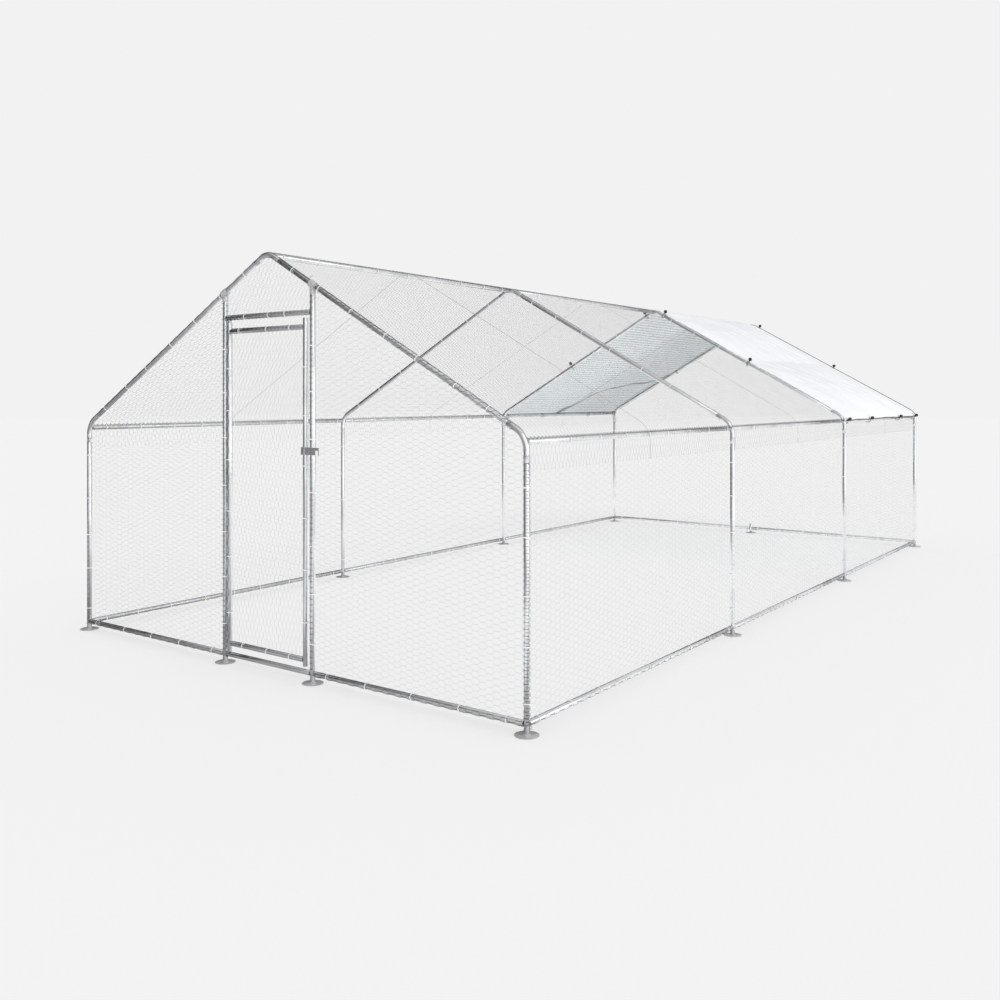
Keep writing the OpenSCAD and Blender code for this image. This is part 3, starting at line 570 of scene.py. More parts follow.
# Feet and screws
foot = lathe_mesh("foot", [
    (0.0, 0.0), (0.0485, 0.0), (0.05, 0.0008), (0.05, 0.0022), (0.0488, 0.003), (0.019, 0.003),
    (0.0165, 0.0042), (0.0146, 0.0066), (0.0128, 0.0076), (0.0, 0.0076)], 48)
foot_spots = [(s * HALF_W, y) for s in BOTH for y in ARCH_Y]
foot_spots += [(s * DOOR_POST_X, FRONT_Y) for s in BOTH] + [(0.0, REAR_Y)]
copies_piece(
    "foot_plates", foot, [((x, y, 0), (1, 0, 0), (0, 0, 1)) for x, y in foot_spots],
    foot_zinc, "run", ["feet"])


def screw_mesh():
    """Hexagon head on its washer face, with the shank's root."""
    shank = lathe_mesh("screw", [
        (0.0, -0.004), (0.0022, -0.004), (0.0022, 0.0), (0.0045, 0.0001), (0.0046, 0.0006),
        (0.0036, 0.0008), (0.0, 0.0008)], 18)
    head = lathe_mesh("screw_head", [
        (0.0, 0.0007), (0.0037, 0.0007), (0.0038, 0.0022), (0.0032, 0.0026), (0.0, 0.0026)], 6)
    return joined_mesh("screw", [(shank, Matrix()), (head, Matrix())])


def screw_places():
    """Screws on the inner side of the bends' legs."""
    spots = []
    for y in ARCH_Y:
        for cx, cz, r, a, way in (
            (BEND_X, BEND_Z, EAVE_R, 0.0, -1), (BEND_X, BEND_Z, EAVE_R, TURN, 1),
            (0.0, RIDGE_C, RIDGE_R, TURN, -1),
        ):
            out = Vector((math.cos(a), 0, math.sin(a)))
            along = Vector((-math.sin(a), 0, math.cos(a))) * way
            p = Vector((cx, 0, cz)) + out * (r - TUBE_R) + along * LEG_L / 2
            for s in BOTH:
                spots.append(((p.x * s, y, p.z), (0, 1, 0), (-out.x * s, 0, -out.z)))
    return spots


copies_piece(
    "joint_screw_heads", screw_mesh(), screw_places(), plated, "run", ["joint_screws"])


# Netting: a wire is a row of start (2), end (2) and width; twists lie along a, the mesh is counted along b
MESH_W, MESH_PITCH, TWIST_L = 0.0267, 0.035, 0.02
WIRE_R, TWIST_SHARE, SELVEDGE_SHARE = 0.0003, 1.65, 3.0
WRAP_R, WRAP_REACH = 0.0006, 0.011
ROOF_R, SHADED_R = 0.0003, 0.0012
LACE_STEP, LACE_W, LACE_RISE, LACE_SHARE = 0.0135, 0.005, 0.009, 2.2
WRAP, WRAP_CUTS, HINGE_WRAP = 0.036, 4, 0.006
STRIP_W, SEAM_POINTS = 1.0, 90


def net_wires(a0, a1, b0, b1):
    """Wires of a hexagonal net over a rectangle."""
    i = np.arange(math.floor(a0 / MESH_PITCH) - 1, math.ceil(a1 / MESH_PITCH) + 2)
    j = np.arange(math.floor(b0 / MESH_W) - 1, math.ceil(b1 / MESH_W) + 2)
    i, j = (g.ravel() for g in np.meshgrid(i, j, indexing="ij"))
    a = i * MESH_PITCH
    b = (j + 0.5 * (i % 2)) * MESH_W
    half, one = TWIST_L / 2, np.ones(len(a))
    groups = [(a - half, b, a + half, b, one * TWIST_SHARE)]
    for s in (-0.5, 0.5):
        groups.append((a + half, b, a + MESH_PITCH - half, b + s * MESH_W, one))
    return np.concatenate([np.stack(group, 1) for group in groups])


def clipped(wires, edges):
    """Wires cut to the inside of a convex outline given as (point, inward normal, spare) edges."""
    p, q = wires[:, :2], wires[:, 2:4]
    t0, t1 = np.zeros(len(p)), np.ones(len(p))
    for point, normal, spare in edges:
        dp = (p - point) @ normal + spare
        dq = (q - point) @ normal + spare
        with np.errstate(divide="ignore", invalid="ignore"):
            t = dp / (dp - dq)
        t0 = np.where((dp < 0) & (dq >= 0), np.maximum(t0, t), t0)
        t1 = np.where((dp >= 0) & (dq < 0), np.minimum(t1, t), t1)
        t1 = np.where((dp < 0) & (dq < 0), -1.0, t1)
    keep = t1 - t0 > 1e-3
    p, q, t0, t1 = p[keep], q[keep], t0[keep, None], t1[keep, None]
    return np.hstack([p + (q - p) * t0, p + (q - p) * t1, wires[keep, 4:]])


def outline_edges(corners, spares):
    """Edges of a convex outline that runs anticlockwise, each with how far the net runs past it."""
    corners = [np.array(c, dtype=float) for c in corners]
    edges = []
    for a, b, spare in zip(corners, corners[1:] + corners[:1], spares):
        along = (b - a) / np.linalg.norm(b - a)
        edges.append((a, np.array([-along[1], along[0]]), spare))
    return edges


def wire_piece(name, wires, place, body, nodes, radius, material):
    """Wires drawn between their ends, which place takes from the flat net into the frame."""
    points = place(wires[:, :4].reshape(-1, 2))
    edges = np.arange(len(points)).reshape(-1, 2)
    mesh = mesh_of(name, points.tolist(), edges.tolist(), width=np.repeat(wires[:, 4], 2))
    obj = bars.make(name, mesh, Radius=radius, Sides=3, Caps=False, Material=material)
    obj.data.shade_smooth()
    finish_piece(obj, body, nodes)


def finer(wires):
    """The same wires in shorter lengths, which follow a tube's curve."""
    p, way, w = wires[:, :2], wires[:, 2:4] - wires[:, :2], wires[:, 4:]
    steps = np.linspace(0, 1, WRAP_CUTS + 1)
    return np.concatenate([np.hstack([p + way * t, p + way * u, w]) for t, u in zip(steps, steps[1:])])


def net_piece(name, wires, wraps, place, body, nodes, radius=WIRE_R, material=wire_zinc):
    """A net's open wires, and as a piece of their own the wires that are drawn tight round its tubes, whose
    darker wire colour is painted shade.
    """
    wire_piece(name + "_wraps", finer(wraps), place, body, [], WRAP_R, wrap_wire_painted_shade)
    wire_piece(name, wires, place, body, nodes, radius, material)


def cut_at(wires, point, normal, spare):
    """Wires on the inner side of an edge and wires outside it, cut where they cross it."""
    return clipped(wires, [(point, normal, spare)]), clipped(wires, [(point, -normal, -spare)])


def wrapped_edges(wires, edges, reach=WRAP_REACH):
    """Open wires, and the wires over the tubes at those edges of an outline that the net runs past."""
    wraps = []
    for point, normal, spare in edges:
        if spare > 0:
            beside, wires = cut_at(wires, point, -normal, reach)
            wraps.append(beside)
    return wires, np.concatenate(wraps)


def line(points, width):
    """A run of wire through points of the flat net."""
    points = np.array(points, dtype=float)
    return np.hstack([points[:-1], points[1:], np.full((len(points) - 1, 1), width)])


def flat_net(corners, spares, upright):
    """Net cut to an outline; upright turns the twists from level to vertical."""
    edges = outline_edges(corners, spares)
    pts = np.array(corners)
    low, high = pts.min(0) - WRAP, pts.max(0) + WRAP
    if upright:
        wires = net_wires(low[1], high[1], low[0], high[0])[:, [1, 0, 3, 2, 4]]
    else:
        wires = net_wires(low[0], high[0], low[1], high[1])
    return clipped(wires, edges), edges


def wrap_on_tubes(edges, y, facing):
    """Places a flat net in front of the tubes on its edges, and what runs past them round the tubes."""
    def place(pts):
        gaps = np.stack([(pts - point) @ normal for point, normal, _ in edges], 1)
        k = gaps.argmin(1)
        d = gaps[np.arange(len(pts)), k]
        normals = np.array([normal for _, normal, _ in edges])[k]
        angle = np.clip(-d, 0, None) / NET_OUT
        inside = np.clip(d, 0, None) - NET_OUT * np.sin(angle)
        flat = pts + normals * (inside - d)[:, None]
        depth = np.full(len(pts), y) + facing * NET_OUT * np.cos(angle)
        return np.stack([flat[:, 0], depth, flat[:, 1]], 1)
    return place


def without_box(wires, x, z, w, h):
    """The wires whose middles lie outside a box."""
    mid = (wires[:, :2] + wires[:, 2:4]) / 2
    return wires[(abs(mid[:, 0] - x) > w / 2) | (abs(mid[:, 1] - z) > h / 2)]


rafter_foot = (HALF_W - EAVE_T * COS_P, EAVE_H + EAVE_T * SIN_P)
ridge_side = (RIDGE_T * COS_P, APEX_Z - RIDGE_T * SIN_P)
front_right = [
    (DOOR_POST_X, RAIL_Z), (HALF_W, RAIL_Z), (HALF_W, BEND_Z), rafter_foot, (DOOR_POST_X, RAFTER_AT_DOOR)]
right_spares = [WRAP, WRAP, 0.0, WRAP, WRAP]
left_spares = [WRAP, WRAP, 0.0, 0.0, WRAP]


def symmetric(half):
    """Whole outline from its right-hand half, bottom to top, with the lower left corner first."""
    left = [(-x, z) for x, z in half[::-1]]
    return left[-1:] + half + left[:-1]


def mirrored(corners, spares):
    """The same outline on the left-hand side, still anticlockwise."""
    flipped = [(-x, z) for x, z in corners[::-1]]
    turned = spares[-2::-1] + spares[-1:]
    return flipped, turned


def upright_net(name, node, corners, spares, upright=False, y=FRONT_Y, body="run", bare=()):
    """A net on the outer side of an arch, left out where the hasp's pieces sit on its tubes."""
    wires, edges = flat_net(corners, spares, upright)
    for x in bare:
        wires = without_box(wires, x, HASP_Z, *HASP_ROOM)
    place = wrap_on_tubes(edges, y, 1 if y > 0 else -1)
    net_piece(name, *wrapped_edges(wires, edges), place, body, [node])


HASP_ROOM = (0.026, STRAP_H + 0.008)
gable = symmetric([(DOOR_POST_X, LINTEL_Z), (DOOR_POST_X, RAFTER_AT_DOOR), ridge_side])
rear = symmetric([(HALF_W, RAIL_Z), (HALF_W, BEND_Z), rafter_foot, ridge_side])
leaf = [(HINGE_X, DOOR_BOTTOM_Z), (LOCK_X, DOOR_BOTTOM_Z), (LOCK_X, DOOR_TOP_Z), (HINGE_X, DOOR_TOP_Z)]
upright_net("front_net_right", "net_front_right", front_right, right_spares, bare=[DOOR_POST_X])
upright_net("front_net_left", "net_front_left", *mirrored(front_right, left_spares))
upright_net("front_gable_net", "net_front_gable", gable, [WRAP, 0, 0, 0, 0, 0], True)
upright_net("rear_net", "net_rear", rear, [WRAP, 0, 0, WRAP, 0, WRAP, 0, 0], y=REAR_Y)
upright_net(
    "door_leaf_net", "door_net", leaf, [0.0, 0.0, WRAP, HINGE_WRAP], True, body="door", bare=[LOCK_X])


def over_roof(s, out):
    """Point of the roof's section, by distance down from the ridge's middle and out from the axes."""
    ridge_l = (RIDGE_R + out) * PITCH
    eave_l = (EAVE_R + out) * TURN
    on_ridge = np.clip(s, 0, ridge_l)
    on_plate = np.clip(s - ridge_l, 0, PLATE_L)
    on_eave = np.clip(s - ridge_l - PLATE_L, 0, eave_l)
    on_wall = np.clip(s - ridge_l - PLATE_L - eave_l, 0, None)
    a = math.pi / 2 - on_ridge / (RIDGE_R + out)
    x, z = (RIDGE_R + out) * np.cos(a), RIDGE_C + (RIDGE_R + out) * np.sin(a)
    x, z = x + on_plate * COS_P, z - on_plate * SIN_P
    b = TURN - on_eave / (EAVE_R + out)
    x = x + (EAVE_R + out) * (np.cos(b) - math.cos(TURN))
    z = z + (EAVE_R + out) * (np.sin(b) - math.sin(TURN))
    return x, z - on_wall


WALL_TOP, WALL_LAP, LAP_OUT = 1.03, 0.008, 0.0006
roof_l = (RIDGE_R + NET_OUT) * PITCH + PLATE_L + (EAVE_R + NET_OUT) * TURN
strip_l = roof_l + BEND_Z - WALL_TOP + WALL_LAP
purlin_l = roof_l - (EAVE_R + NET_OUT) * PURLIN_ANGLE


def wall_net(label, side):
    """One roll of netting along a side wall, folded under the base rail, with its selvedges."""
    corners = [(-HALF_L, RAIL_Z), (HALF_L, RAIL_Z), (HALF_L, WALL_TOP), (-HALF_L, WALL_TOP)]
    wires, edges = flat_net(corners, [WRAP, WRAP / 2, 0, WRAP / 2], False)
    fold = wrap_on_tubes(edges, 0.0, 1)

    def place(pts):
        along, depth, up = fold(pts).T
        return np.stack([side * (HALF_W + depth), along, up], 1)
    net_piece(f"wall_net_{label}", *wrapped_edges(wires, edges, 0.0), place, "run", [f"net_{label}_wall"])


def lacing(at, y0, y1):
    """Wire that laces the roof's net to a purlin in a zigzag."""
    along = np.arange(y0, y1, LACE_STEP)
    swing = np.where(np.arange(len(along)) % 2, LACE_W, -LACE_W)
    return line(np.stack([at + swing, along], 1), LACE_SHARE)


def roof_net(label, side):
    """Strips of netting from the ridge over the eave on to the wall, in one piece per bay; the first and
    the last strip fold round the outer rafters, and under the cover the wire is heavier and painted dark as
    shade."""
    def place(pts):
        past = np.clip(abs(pts[:, 1]) - HALF_L, 0, None) / NET_OUT
        out = (NET_OUT + LAP_OUT) * np.cos(past)
        x, z = over_roof(pts[:, 0], out)
        y = np.clip(pts[:, 1], -HALF_L, HALF_L) + np.sign(pts[:, 1]) * NET_OUT * np.sin(past)
        return np.stack([side * x, y, z], 1)
    run = np.linspace(0, strip_l, SEAM_POINTS)
    eave = (np.array((purlin_l, 0)), np.array((-1, 0)), 0.0)
    for i, bay in enumerate(("front", "middle", "rear")):
        parts = []
        for k in range(round(BAY_L / STRIP_W)):
            y0 = ARCH_Y[i] + k * STRIP_W
            y1 = y0 + STRIP_W
            if bay != "rear" or k > 0:
                parts.append(line([(s, y0) for s in run], SELVEDGE_SHARE))
            y0, y1 = (y - WRAP if y == FRONT_Y else y + WRAP / 2 if y == REAR_Y else y for y in (y0, y1))
            edges = outline_edges([(0, y0), (strip_l, y0), (strip_l, y1), (0, y1)], [0, 0, 0, 0])
            parts.append(clipped(net_wires(0, strip_l, y0, y1), edges))
        wires = np.concatenate(parts)
        laces = [lacing(at, *ARCH_Y[i:i + 2]) for at in (LACE_RISE, purlin_l - LACE_RISE)]
        nodes = [f"net_roof_{label}"] if i == 0 else []
        name = f"roof_net_{label}_{bay}"
        if bay == "rear":
            covered, wires = cut_at(wires, *eave)
            covered[:, 4] = 1.0
            # The wire under the cover is painted dark as shade.
            wire_piece(name + "_covered", covered, place, "run", [], SHADED_R, covered_wire_painted_shade)
        net_piece(name, wires, np.concatenate(laces), place, "run", nodes, ROOF_R, roof_wire)


for label, side in SIDES.items():
    wall_net(label, side)
    roof_net(label, side)


# Net ties round the tubes
TIE_R, TIE_W, TIE_T = NET_OUT, 0.0036, 0.0011
TIE_HEAD = ((TIE_R + 0.0021, 0, 0), (0.004, 0.0052, 0.0052))
TIE_TAIL = ((TIE_R + 0.0024, 0.0046, 0), (0.001, 0.0064, 0.0034))
TIE_STEP, TIE_SPARE, TIE_SHIFT, TIE_TILT = 0.235, 0.09, 0.02, 0.35
POST_SPARE, LINTEL_SPARE, STILE_SPARE = 0.14, 0.16, 0.17
DOOR_STEP, STILE_STEP = 0.15, 0.24
DOORWAY_X, TIE_BEVEL = 0.4, 0.0004


def net_tie():
    """Plastic tie: a flat band round a tube, its head and a trimmed tail, with the head along +X."""
    low, high, out = -TIE_W / 2, TIE_W / 2, TIE_R + TIE_T
    band = lathe_mesh("net_tie", [(TIE_R, low), (out, low), (out, high), (TIE_R, high), (TIE_R, low)], 22)
    work = bmesh.new()
    work.from_mesh(band)
    for at, size in (TIE_HEAD, TIE_TAIL):
        shape = Matrix.Translation(at) @ Matrix.Diagonal((*size, 1))
        box = bmesh.ops.create_cube(work, size=1.0, matrix=shape)
        rims = list(dict.fromkeys(e for v in box["verts"] for e in v.link_edges))
        bmesh.ops.bevel(work, geom=rims, offset=TIE_BEVEL, segments=1, affect="EDGES")
    return mesh_from(work, "net_tie")


rng = np.random.default_rng(11)


def ties_along(p0, p1, head, step=TIE_STEP, spare=TIE_SPARE):
    """Places of ties along a tube, a little uneven, with their heads turned to one side."""
    p0, p1 = Vector(p0), Vector(p1)
    length = (p1 - p0).length
    count = max(2, round((length - 2 * spare) / step) + 1)
    along = (p1 - p0).normalized()
    spots = []
    for k in range(count):
        at = spare + (length - 2 * spare) * k / (count - 1) + float(rng.uniform(-TIE_SHIFT, TIE_SHIFT))
        turn = Matrix.Rotation(float(rng.uniform(-TIE_TILT, TIE_TILT)), 3, along)
        spots.append((tuple(p0 + along * at), tuple(turn @ Vector(head)), tuple(along)))
    return spots


def frame_runs():
    """Runs of ties on the frame, as the arguments of ties_along."""
    runs = []
    for s in BOTH:
        wall, door = s * HALF_W, (s * DOOR_POST_X, FRONT_Y)
        for y in ARCH_Y:
            inward = (-s, 0.0 if abs(y) < HALF_L else -y / HALF_L, 0)
            runs.append(((wall, y, RAIL_Z), (wall, y, POST_TOP), inward))
            runs.append((*(on_slope(u, y, 0, s) for u in RAFTER_ENDS), (-s * SIN_P, 0, -COS_P)))
        for a, b in zip(ARCH_Y, ARCH_Y[1:]):
            runs.append(((wall, a, RAIL_Z), (wall, b, RAIL_Z), (-s, 0, 0.4)))
            if b < REAR_Y:
                runs.append(((s * PURLIN_X, a, PURLIN_Z), (s * PURLIN_X, b, PURLIN_Z), (-s, 0, -0.3)))
        runs.append(((*door, RAIL_Z), (*door, LINTEL_Z), (0.4 * s, 1, 0), TIE_STEP, POST_SPARE))
        runs.append(((wall, FRONT_Y, RAIL_Z), (*door, RAIL_Z), (0, 1, 0.2)))
        runs.append(((wall, REAR_Y, RAIL_Z), (0, REAR_Y, RAIL_Z), (0, -1, 0.2)))
    for a, b in zip(ARCH_Y[:-2], ARCH_Y[1:]):
        runs.append(((0, a, RIDGE_Z), (0, b, RIDGE_Z), (0, 0, -1)))
    lintel = ((s * DOOR_POST_X, FRONT_Y, LINTEL_Z) for s in BOTH)
    return [*runs, (*lintel, (0, 1, 0.3), DOOR_STEP, LINTEL_SPARE)]


def door_runs():
    """Runs of ties on the door's rails and stiles, as the arguments of ties_along."""
    runs = []
    for z, up in ((DOOR_BOTTOM_Z, 0.3), (DOOR_TOP_Z, -0.3)):
        runs.append(((HINGE_X, FRONT_Y, z), (LOCK_X, FRONT_Y, z), (0, 1, up), DOOR_STEP))
    for x, way in ((HINGE_X, 1), (LOCK_X, -1)):
        ends = ((x, FRONT_Y, z) for z in (DOOR_BOTTOM_Z, DOOR_TOP_Z))
        runs.append((*ends, (way, 0.6, 0), STILE_STEP, STILE_SPARE))
    return runs


def net_ties(name, runs, body):
    """Ties along the runs, except at the hasp's height in the doorway."""
    spots = [spot for run in runs for spot in ties_along(*run)]
    clear = [s for s in spots if abs(s[0][2] - HASP_Z) > STRAP_H or abs(s[0][0]) > DOORWAY_X]
    copies_piece(name, net_tie(), clear, tie_white, body)


net_ties("frame_net_ties", frame_runs(), "run")
net_ties("door_net_ties", door_runs(), "door")


# Roof cover over the rear bay
COVER_Y0, COVER_Y1 = ARCH_Y[2] - COVER_LAP, REAR_Y + COVER_LAP
FOOT_ANGLE = PURLIN_ANGLE - math.asin(COVER_LAP / (EAVE_R + COVER_IN))
cover_reach = (RIDGE_R + COVER_MID) * PITCH + PLATE_L + (EAVE_R + COVER_MID) * (TURN - FOOT_ANGLE)
cover_ridge_l = (RIDGE_R + COVER_MID) * PITCH
EYELET_SIDE = (math.sqrt(LOOP_IN ** 2 - EYELET_TOP ** 2) + math.sqrt(LOOP_OUT ** 2 - COVER_IN ** 2)) / 2
EYELET_HOLE = 0.0062
SHEET_T, SHEET_GRID, PROBE = 0.0007, (281, 131), 0.001
HEM_R, HEM_RISE, HEM_POINTS = 0.0036, 0.0012, (241, 121)


def loop_angle(loop, rise):
    """Angle about the eave bend's centre at which a tie's loop reaches a height above the tubes' axes."""
    r = EAVE_R + rise
    return math.acos((r ** 2 + EAVE_R ** 2 - loop ** 2) / (2 * r * EAVE_R))


EYELET_LIFT = (loop_angle(LOOP_IN, EYELET_TOP) + loop_angle(LOOP_OUT, COVER_IN)) / 2
EAVE_TIE_SHARES = (0.305, 0.723)
EAVE_TIES = [ARCH_Y[2] + at for at in (CORNER_TIE_Y, *(share * BAY_L for share in EAVE_TIE_SHARES))]
EAVE_TIES.append(REAR_Y - CORNER_TIE_Y)
tie_rows = [x / COS_P - RIDGE_T for x in (RIDGE_TIE_X, MID_TIE_X)]


def eyelet_spots():
    """Eyelets as (distance down from the ridge's middle, place along the run)."""
    ends = (ARCH_Y[2] + EYELET_SIDE, REAR_Y - EYELET_SIDE)
    spots = [(cover_ridge_l + d, y) for d in tie_rows for y in ends]
    down = cover_ridge_l + PLATE_L + (EAVE_R + COVER_MID) * (TURN - PURLIN_ANGLE - EYELET_LIFT)
    return spots + [(down, y) for y in EAVE_TIES]


def soft_step(x, low, high):
    """Smooth rise from 0 to 1 over a span."""
    t = np.clip((x - low) / (high - low), 0, 1)
    return t * t * (3 - 2 * t)


# How the tied-down sheet lies: heights and widths in metres, spans as (from, to)
BILLOW, BILLOW_POWER, SAG_SHARE = 0.022, 0.6, 0.3
MID_ROW_W, RIDGE_ROOM, RIDGE_SPAN = 0.07, (0.05, 0.3), (0.0, 0.12)
SLACK, SLACK_WAVES, SLACK_LENGTHS, SLACK_SEEDS = 0.0013, 12, (0.16, 0.7), {1: 5, -1: 8}
PACK_FOLD, PACK_FOLD_W = 0.003, 0.018
PACK_FOLDS_DOWN, PACK_FOLDS_ALONG = (0.44, 1.32), (0.5, 1.0, 1.5)
TIE_PULL, TIE_PULL_W, TIE_ROOM, TIE_CREASES, CREASE_TURN = 0.004, 0.16, (0.02, 0.3), 7, 9
EDGE_ROOM, REAR_ROOM, PLEAT_END = (-0.06, 0.16), (-0.05, 0.45), (0.0, 0.1)
# FOLD_W and REAR_SHADE size the painted shade along the pleat and over the left slope's rear half.
FOLD_W, REAR_SHADE, REAR_HALF, LEFT_SLOPE = 0.017, 0.19, (0.9, 1.4), (0.0, 0.2)
PLEAT, PLEAT_W, PLEAT_ROOM, PLEAT_POINTS, PLEAT_BLUR = 0.02, 0.009, 0.035, 90, 8
mid_row = cover_ridge_l + tie_rows[1]
pleat_down = [1.0, 1.165, 1.334, 1.436, 1.596, 1.7, 1.76]
pleat_along = [2.0, 1.867, 1.511, 1.214, 1.163, 1.08, 0.75]


def ridge_of(distance, width):
    """Height of a soft fold at a distance from its line."""
    return np.exp(-np.abs(distance) / width)


def pleat_gap(s, y):
    """Distance from the slack sheet's one sharp pleat, which winds from the rear edge to the left eave."""
    steps = np.linspace(pleat_down[0], pleat_down[-1], PLEAT_POINTS)
    line_y = COVER_Y0 + np.interp(steps, pleat_down, pleat_along)
    blur = np.full(2 * PLEAT_BLUR + 1, 1 / (2 * PLEAT_BLUR + 1))
    line_y = np.convolve(np.pad(line_y, PLEAT_BLUR, mode="edge"), blur, mode="valid")
    gap = np.full(len(s), np.inf)
    for at, along in zip(steps, line_y):
        gap = np.minimum(gap, np.hypot(s + at, y - along))
    return gap


def cover_lift(s, y, side):
    """How far one slope of the sheet stands off the netting: slack, packing folds and pulls at the ties."""
    draw = np.random.default_rng(SLACK_SEEDS[side])
    a, b = abs(s), y - COVER_Y0
    down = np.where(a < mid_row, a / mid_row, (cover_reach - a) / (cover_reach - mid_row))
    down, along = (np.sin(math.pi * np.clip(span, 0, 1)) for span in (down, b / BAY_L))
    lift = BILLOW * down * along ** BILLOW_POWER
    lift += BILLOW * SAG_SHARE * (1 - ridge_of(a - mid_row, MID_ROW_W)) * soft_step(a, *RIDGE_ROOM)
    for _ in range(SLACK_WAVES):
        angle, wave = draw.uniform(0, math.pi), draw.uniform(*SLACK_LENGTHS)
        phase = draw.uniform(0, 2 * math.pi)
        across = a * math.cos(angle) + b * math.sin(angle)
        lift += SLACK * (1 + np.sin(across * 2 * math.pi / wave + phase))
    for way, folds in ((a, PACK_FOLDS_DOWN), (b, PACK_FOLDS_ALONG)):
        for at in folds:
            lift += PACK_FOLD * ridge_of(way - at, PACK_FOLD_W)
    near = np.ones_like(s)
    for es, ey in eyelet_spots():
        d = np.hypot(a - es, y - ey)
        near = np.minimum(near, soft_step(d, *TIE_ROOM))
        spoke = np.arctan2(a - es, y - ey)
        creases = 1 + np.sin(TIE_CREASES * spoke + es * CREASE_TURN)
        lift += TIE_PULL * ridge_of(d, TIE_PULL_W) * creases
    edge, rear = np.minimum(b, cover_reach - a), COVER_Y1 - y
    lift = lift * near * soft_step(edge, *EDGE_ROOM) * soft_step(rear, *REAR_ROOM)
    if side < 0:
        pleat = PLEAT * np.exp(-(pleat_gap(s, y) / PLEAT_W) ** 2)
        lift += pleat * soft_step(edge, *PLEAT_END) * soft_step(rear, *PLEAT_END)
    return lift


def sheet_place(s, y, rise=0.0):
    """Points of the tied-down sheet, from the distance over the ridge and the place along the run."""
    x, z = over_roof(abs(s), COVER_MID)
    fx, fz = over_roof(abs(s), COVER_MID + PROBE)
    scale = np.hypot(fx - x, fz - z)
    lift = np.where(s > 0, cover_lift(s, y, 1), cover_lift(s, y, -1))
    lift = lift * soft_step(abs(s), *RIDGE_SPAN) + rise
    out_x, out_z = (fx - x) / scale, (fz - z) / scale
    return np.stack([np.sign(s) * (x + out_x * lift), y, z + out_z * lift], 1)


def grid_lines(low, high, count, holes):
    """Even grid lines, with the two nearest to each eyelet moved to the sides of its hole."""
    lines = np.linspace(low, high, count)
    for at in holes:
        k = int(np.clip(np.searchsorted(lines, at) - 1, 1, count - 3))
        lines[k], lines[k + 1] = at - EYELET_HOLE, at + EYELET_HOLE
    return lines


def flat_sheet():
    """The sheet laid flat: a grid with a hole at each eyelet, made finer along the pleat."""
    rows, cols = SHEET_GRID
    spots = eyelet_spots()
    downs = sorted({side * es for es, _ in spots for side in BOTH})
    s_lines = grid_lines(-cover_reach, cover_reach, rows, downs)
    y_lines = grid_lines(COVER_Y0, COVER_Y1, cols, sorted({ey for _, ey in spots}))
    holes = set()
    for es, ey in spots:
        for side in BOTH:
            holes.add((np.searchsorted(s_lines, side * es) - 1, np.searchsorted(y_lines, ey) - 1))
    work = bmesh.new()
    grid = [[work.verts.new((s, y, 0)) for y in y_lines] for s in s_lines]
    for i in range(rows - 1):
        for j in range(cols - 1):
            if (i, j) not in holes:
                work.faces.new((grid[i][j], grid[i + 1][j], grid[i + 1][j + 1], grid[i][j + 1]))
    edges = list(work.edges)
    mids = np.array([(e.verts[0].co + e.verts[1].co) / 2 for e in edges])
    near = pleat_gap(mids[:, 0], mids[:, 1]) < PLEAT_ROOM
    bmesh.ops.subdivide_edges(work, edges=[e for e, n in zip(edges, near) if n], cuts=2, use_grid_fill=True)
    bmesh.ops.triangulate(work, faces=[f for f in work.faces if len(f.verts) > 4])
    return mesh_from(work, "cover_sheet")


def sheet_painted_shade(s, y):
    """Share of painted shade on the sheet: most in the sharp pleat, where shade falls, and some over the
    left slope's rear half.
    """
    pleat = np.exp(-(pleat_gap(s, y) / FOLD_W) ** 2)
    rear = REAR_SHADE * soft_step(y - COVER_Y0, *REAR_HALF) * soft_step(-s, *LEFT_SLOPE)
    return np.maximum(pleat, rear)


def roof_cover():
    """The sheet tied down over both slopes, with its flat measures as its UV map."""
    mesh = flat_sheet()
    flat = np.array([v.co[:2] for v in mesh.vertices])
    corner = np.zeros(len(mesh.loops), dtype=np.int32)
    mesh.loops.foreach_get("vertex_index", corner)
    uv = mesh.uv_layers.new(name="cloth")
    uv.data.foreach_set("uv", flat[corner].astype(np.float32).ravel())
    mesh.vertices.foreach_set("co", sheet_place(flat[:, 0], flat[:, 1]).astype(np.float32).ravel())
    mesh.update()
    # Painted shade for the sheet's finish, stored on its points.
    painted_shade = mesh.attributes.new("painted_shade", "FLOAT", "POINT")
    painted_shade.data.foreach_set("value", sheet_painted_shade(*flat.T).astype(np.float32))
    obj = add_object("cover_sheet", mesh)
    mesh.materials.append(sheet_top)
    mesh.materials.append(sheet_under)
    mesh.shade_smooth()
    wall = obj.modifiers.new("thickness", "SOLIDIFY")
    wall.thickness = SHEET_T
    wall.offset = 0.0
    wall.material_offset = 1
    return obj


def cover_hem():
    """Cord sewn into the sheet's eave edges and its rear edge, near-black as painted shade along the edge.
    """
    down = np.linspace(-cover_reach, cover_reach, HEM_POINTS[0])
    along = np.linspace(COVER_Y0, COVER_Y1, HEM_POINTS[1])
    runs = [
        (np.full_like(along, -cover_reach), along), (down, np.full_like(down, COVER_Y1)),
        (np.full_like(along, cover_reach), along[::-1])]
    points = np.concatenate([sheet_place(s, y, HEM_RISE)[:-1] for s, y in runs])
    mesh = path_mesh("cover_hem", [[(p, 1.0) for p in points.tolist()]])
    obj = bars.make("cover_hem", mesh, Radius=HEM_R, Sides=8, Caps=True, Material=hem_painted_shade)
    obj.data.shade_smooth()
    return finish_piece(obj, "run")


cover = finish_piece(roof_cover(), "run", ["roof_cover"])


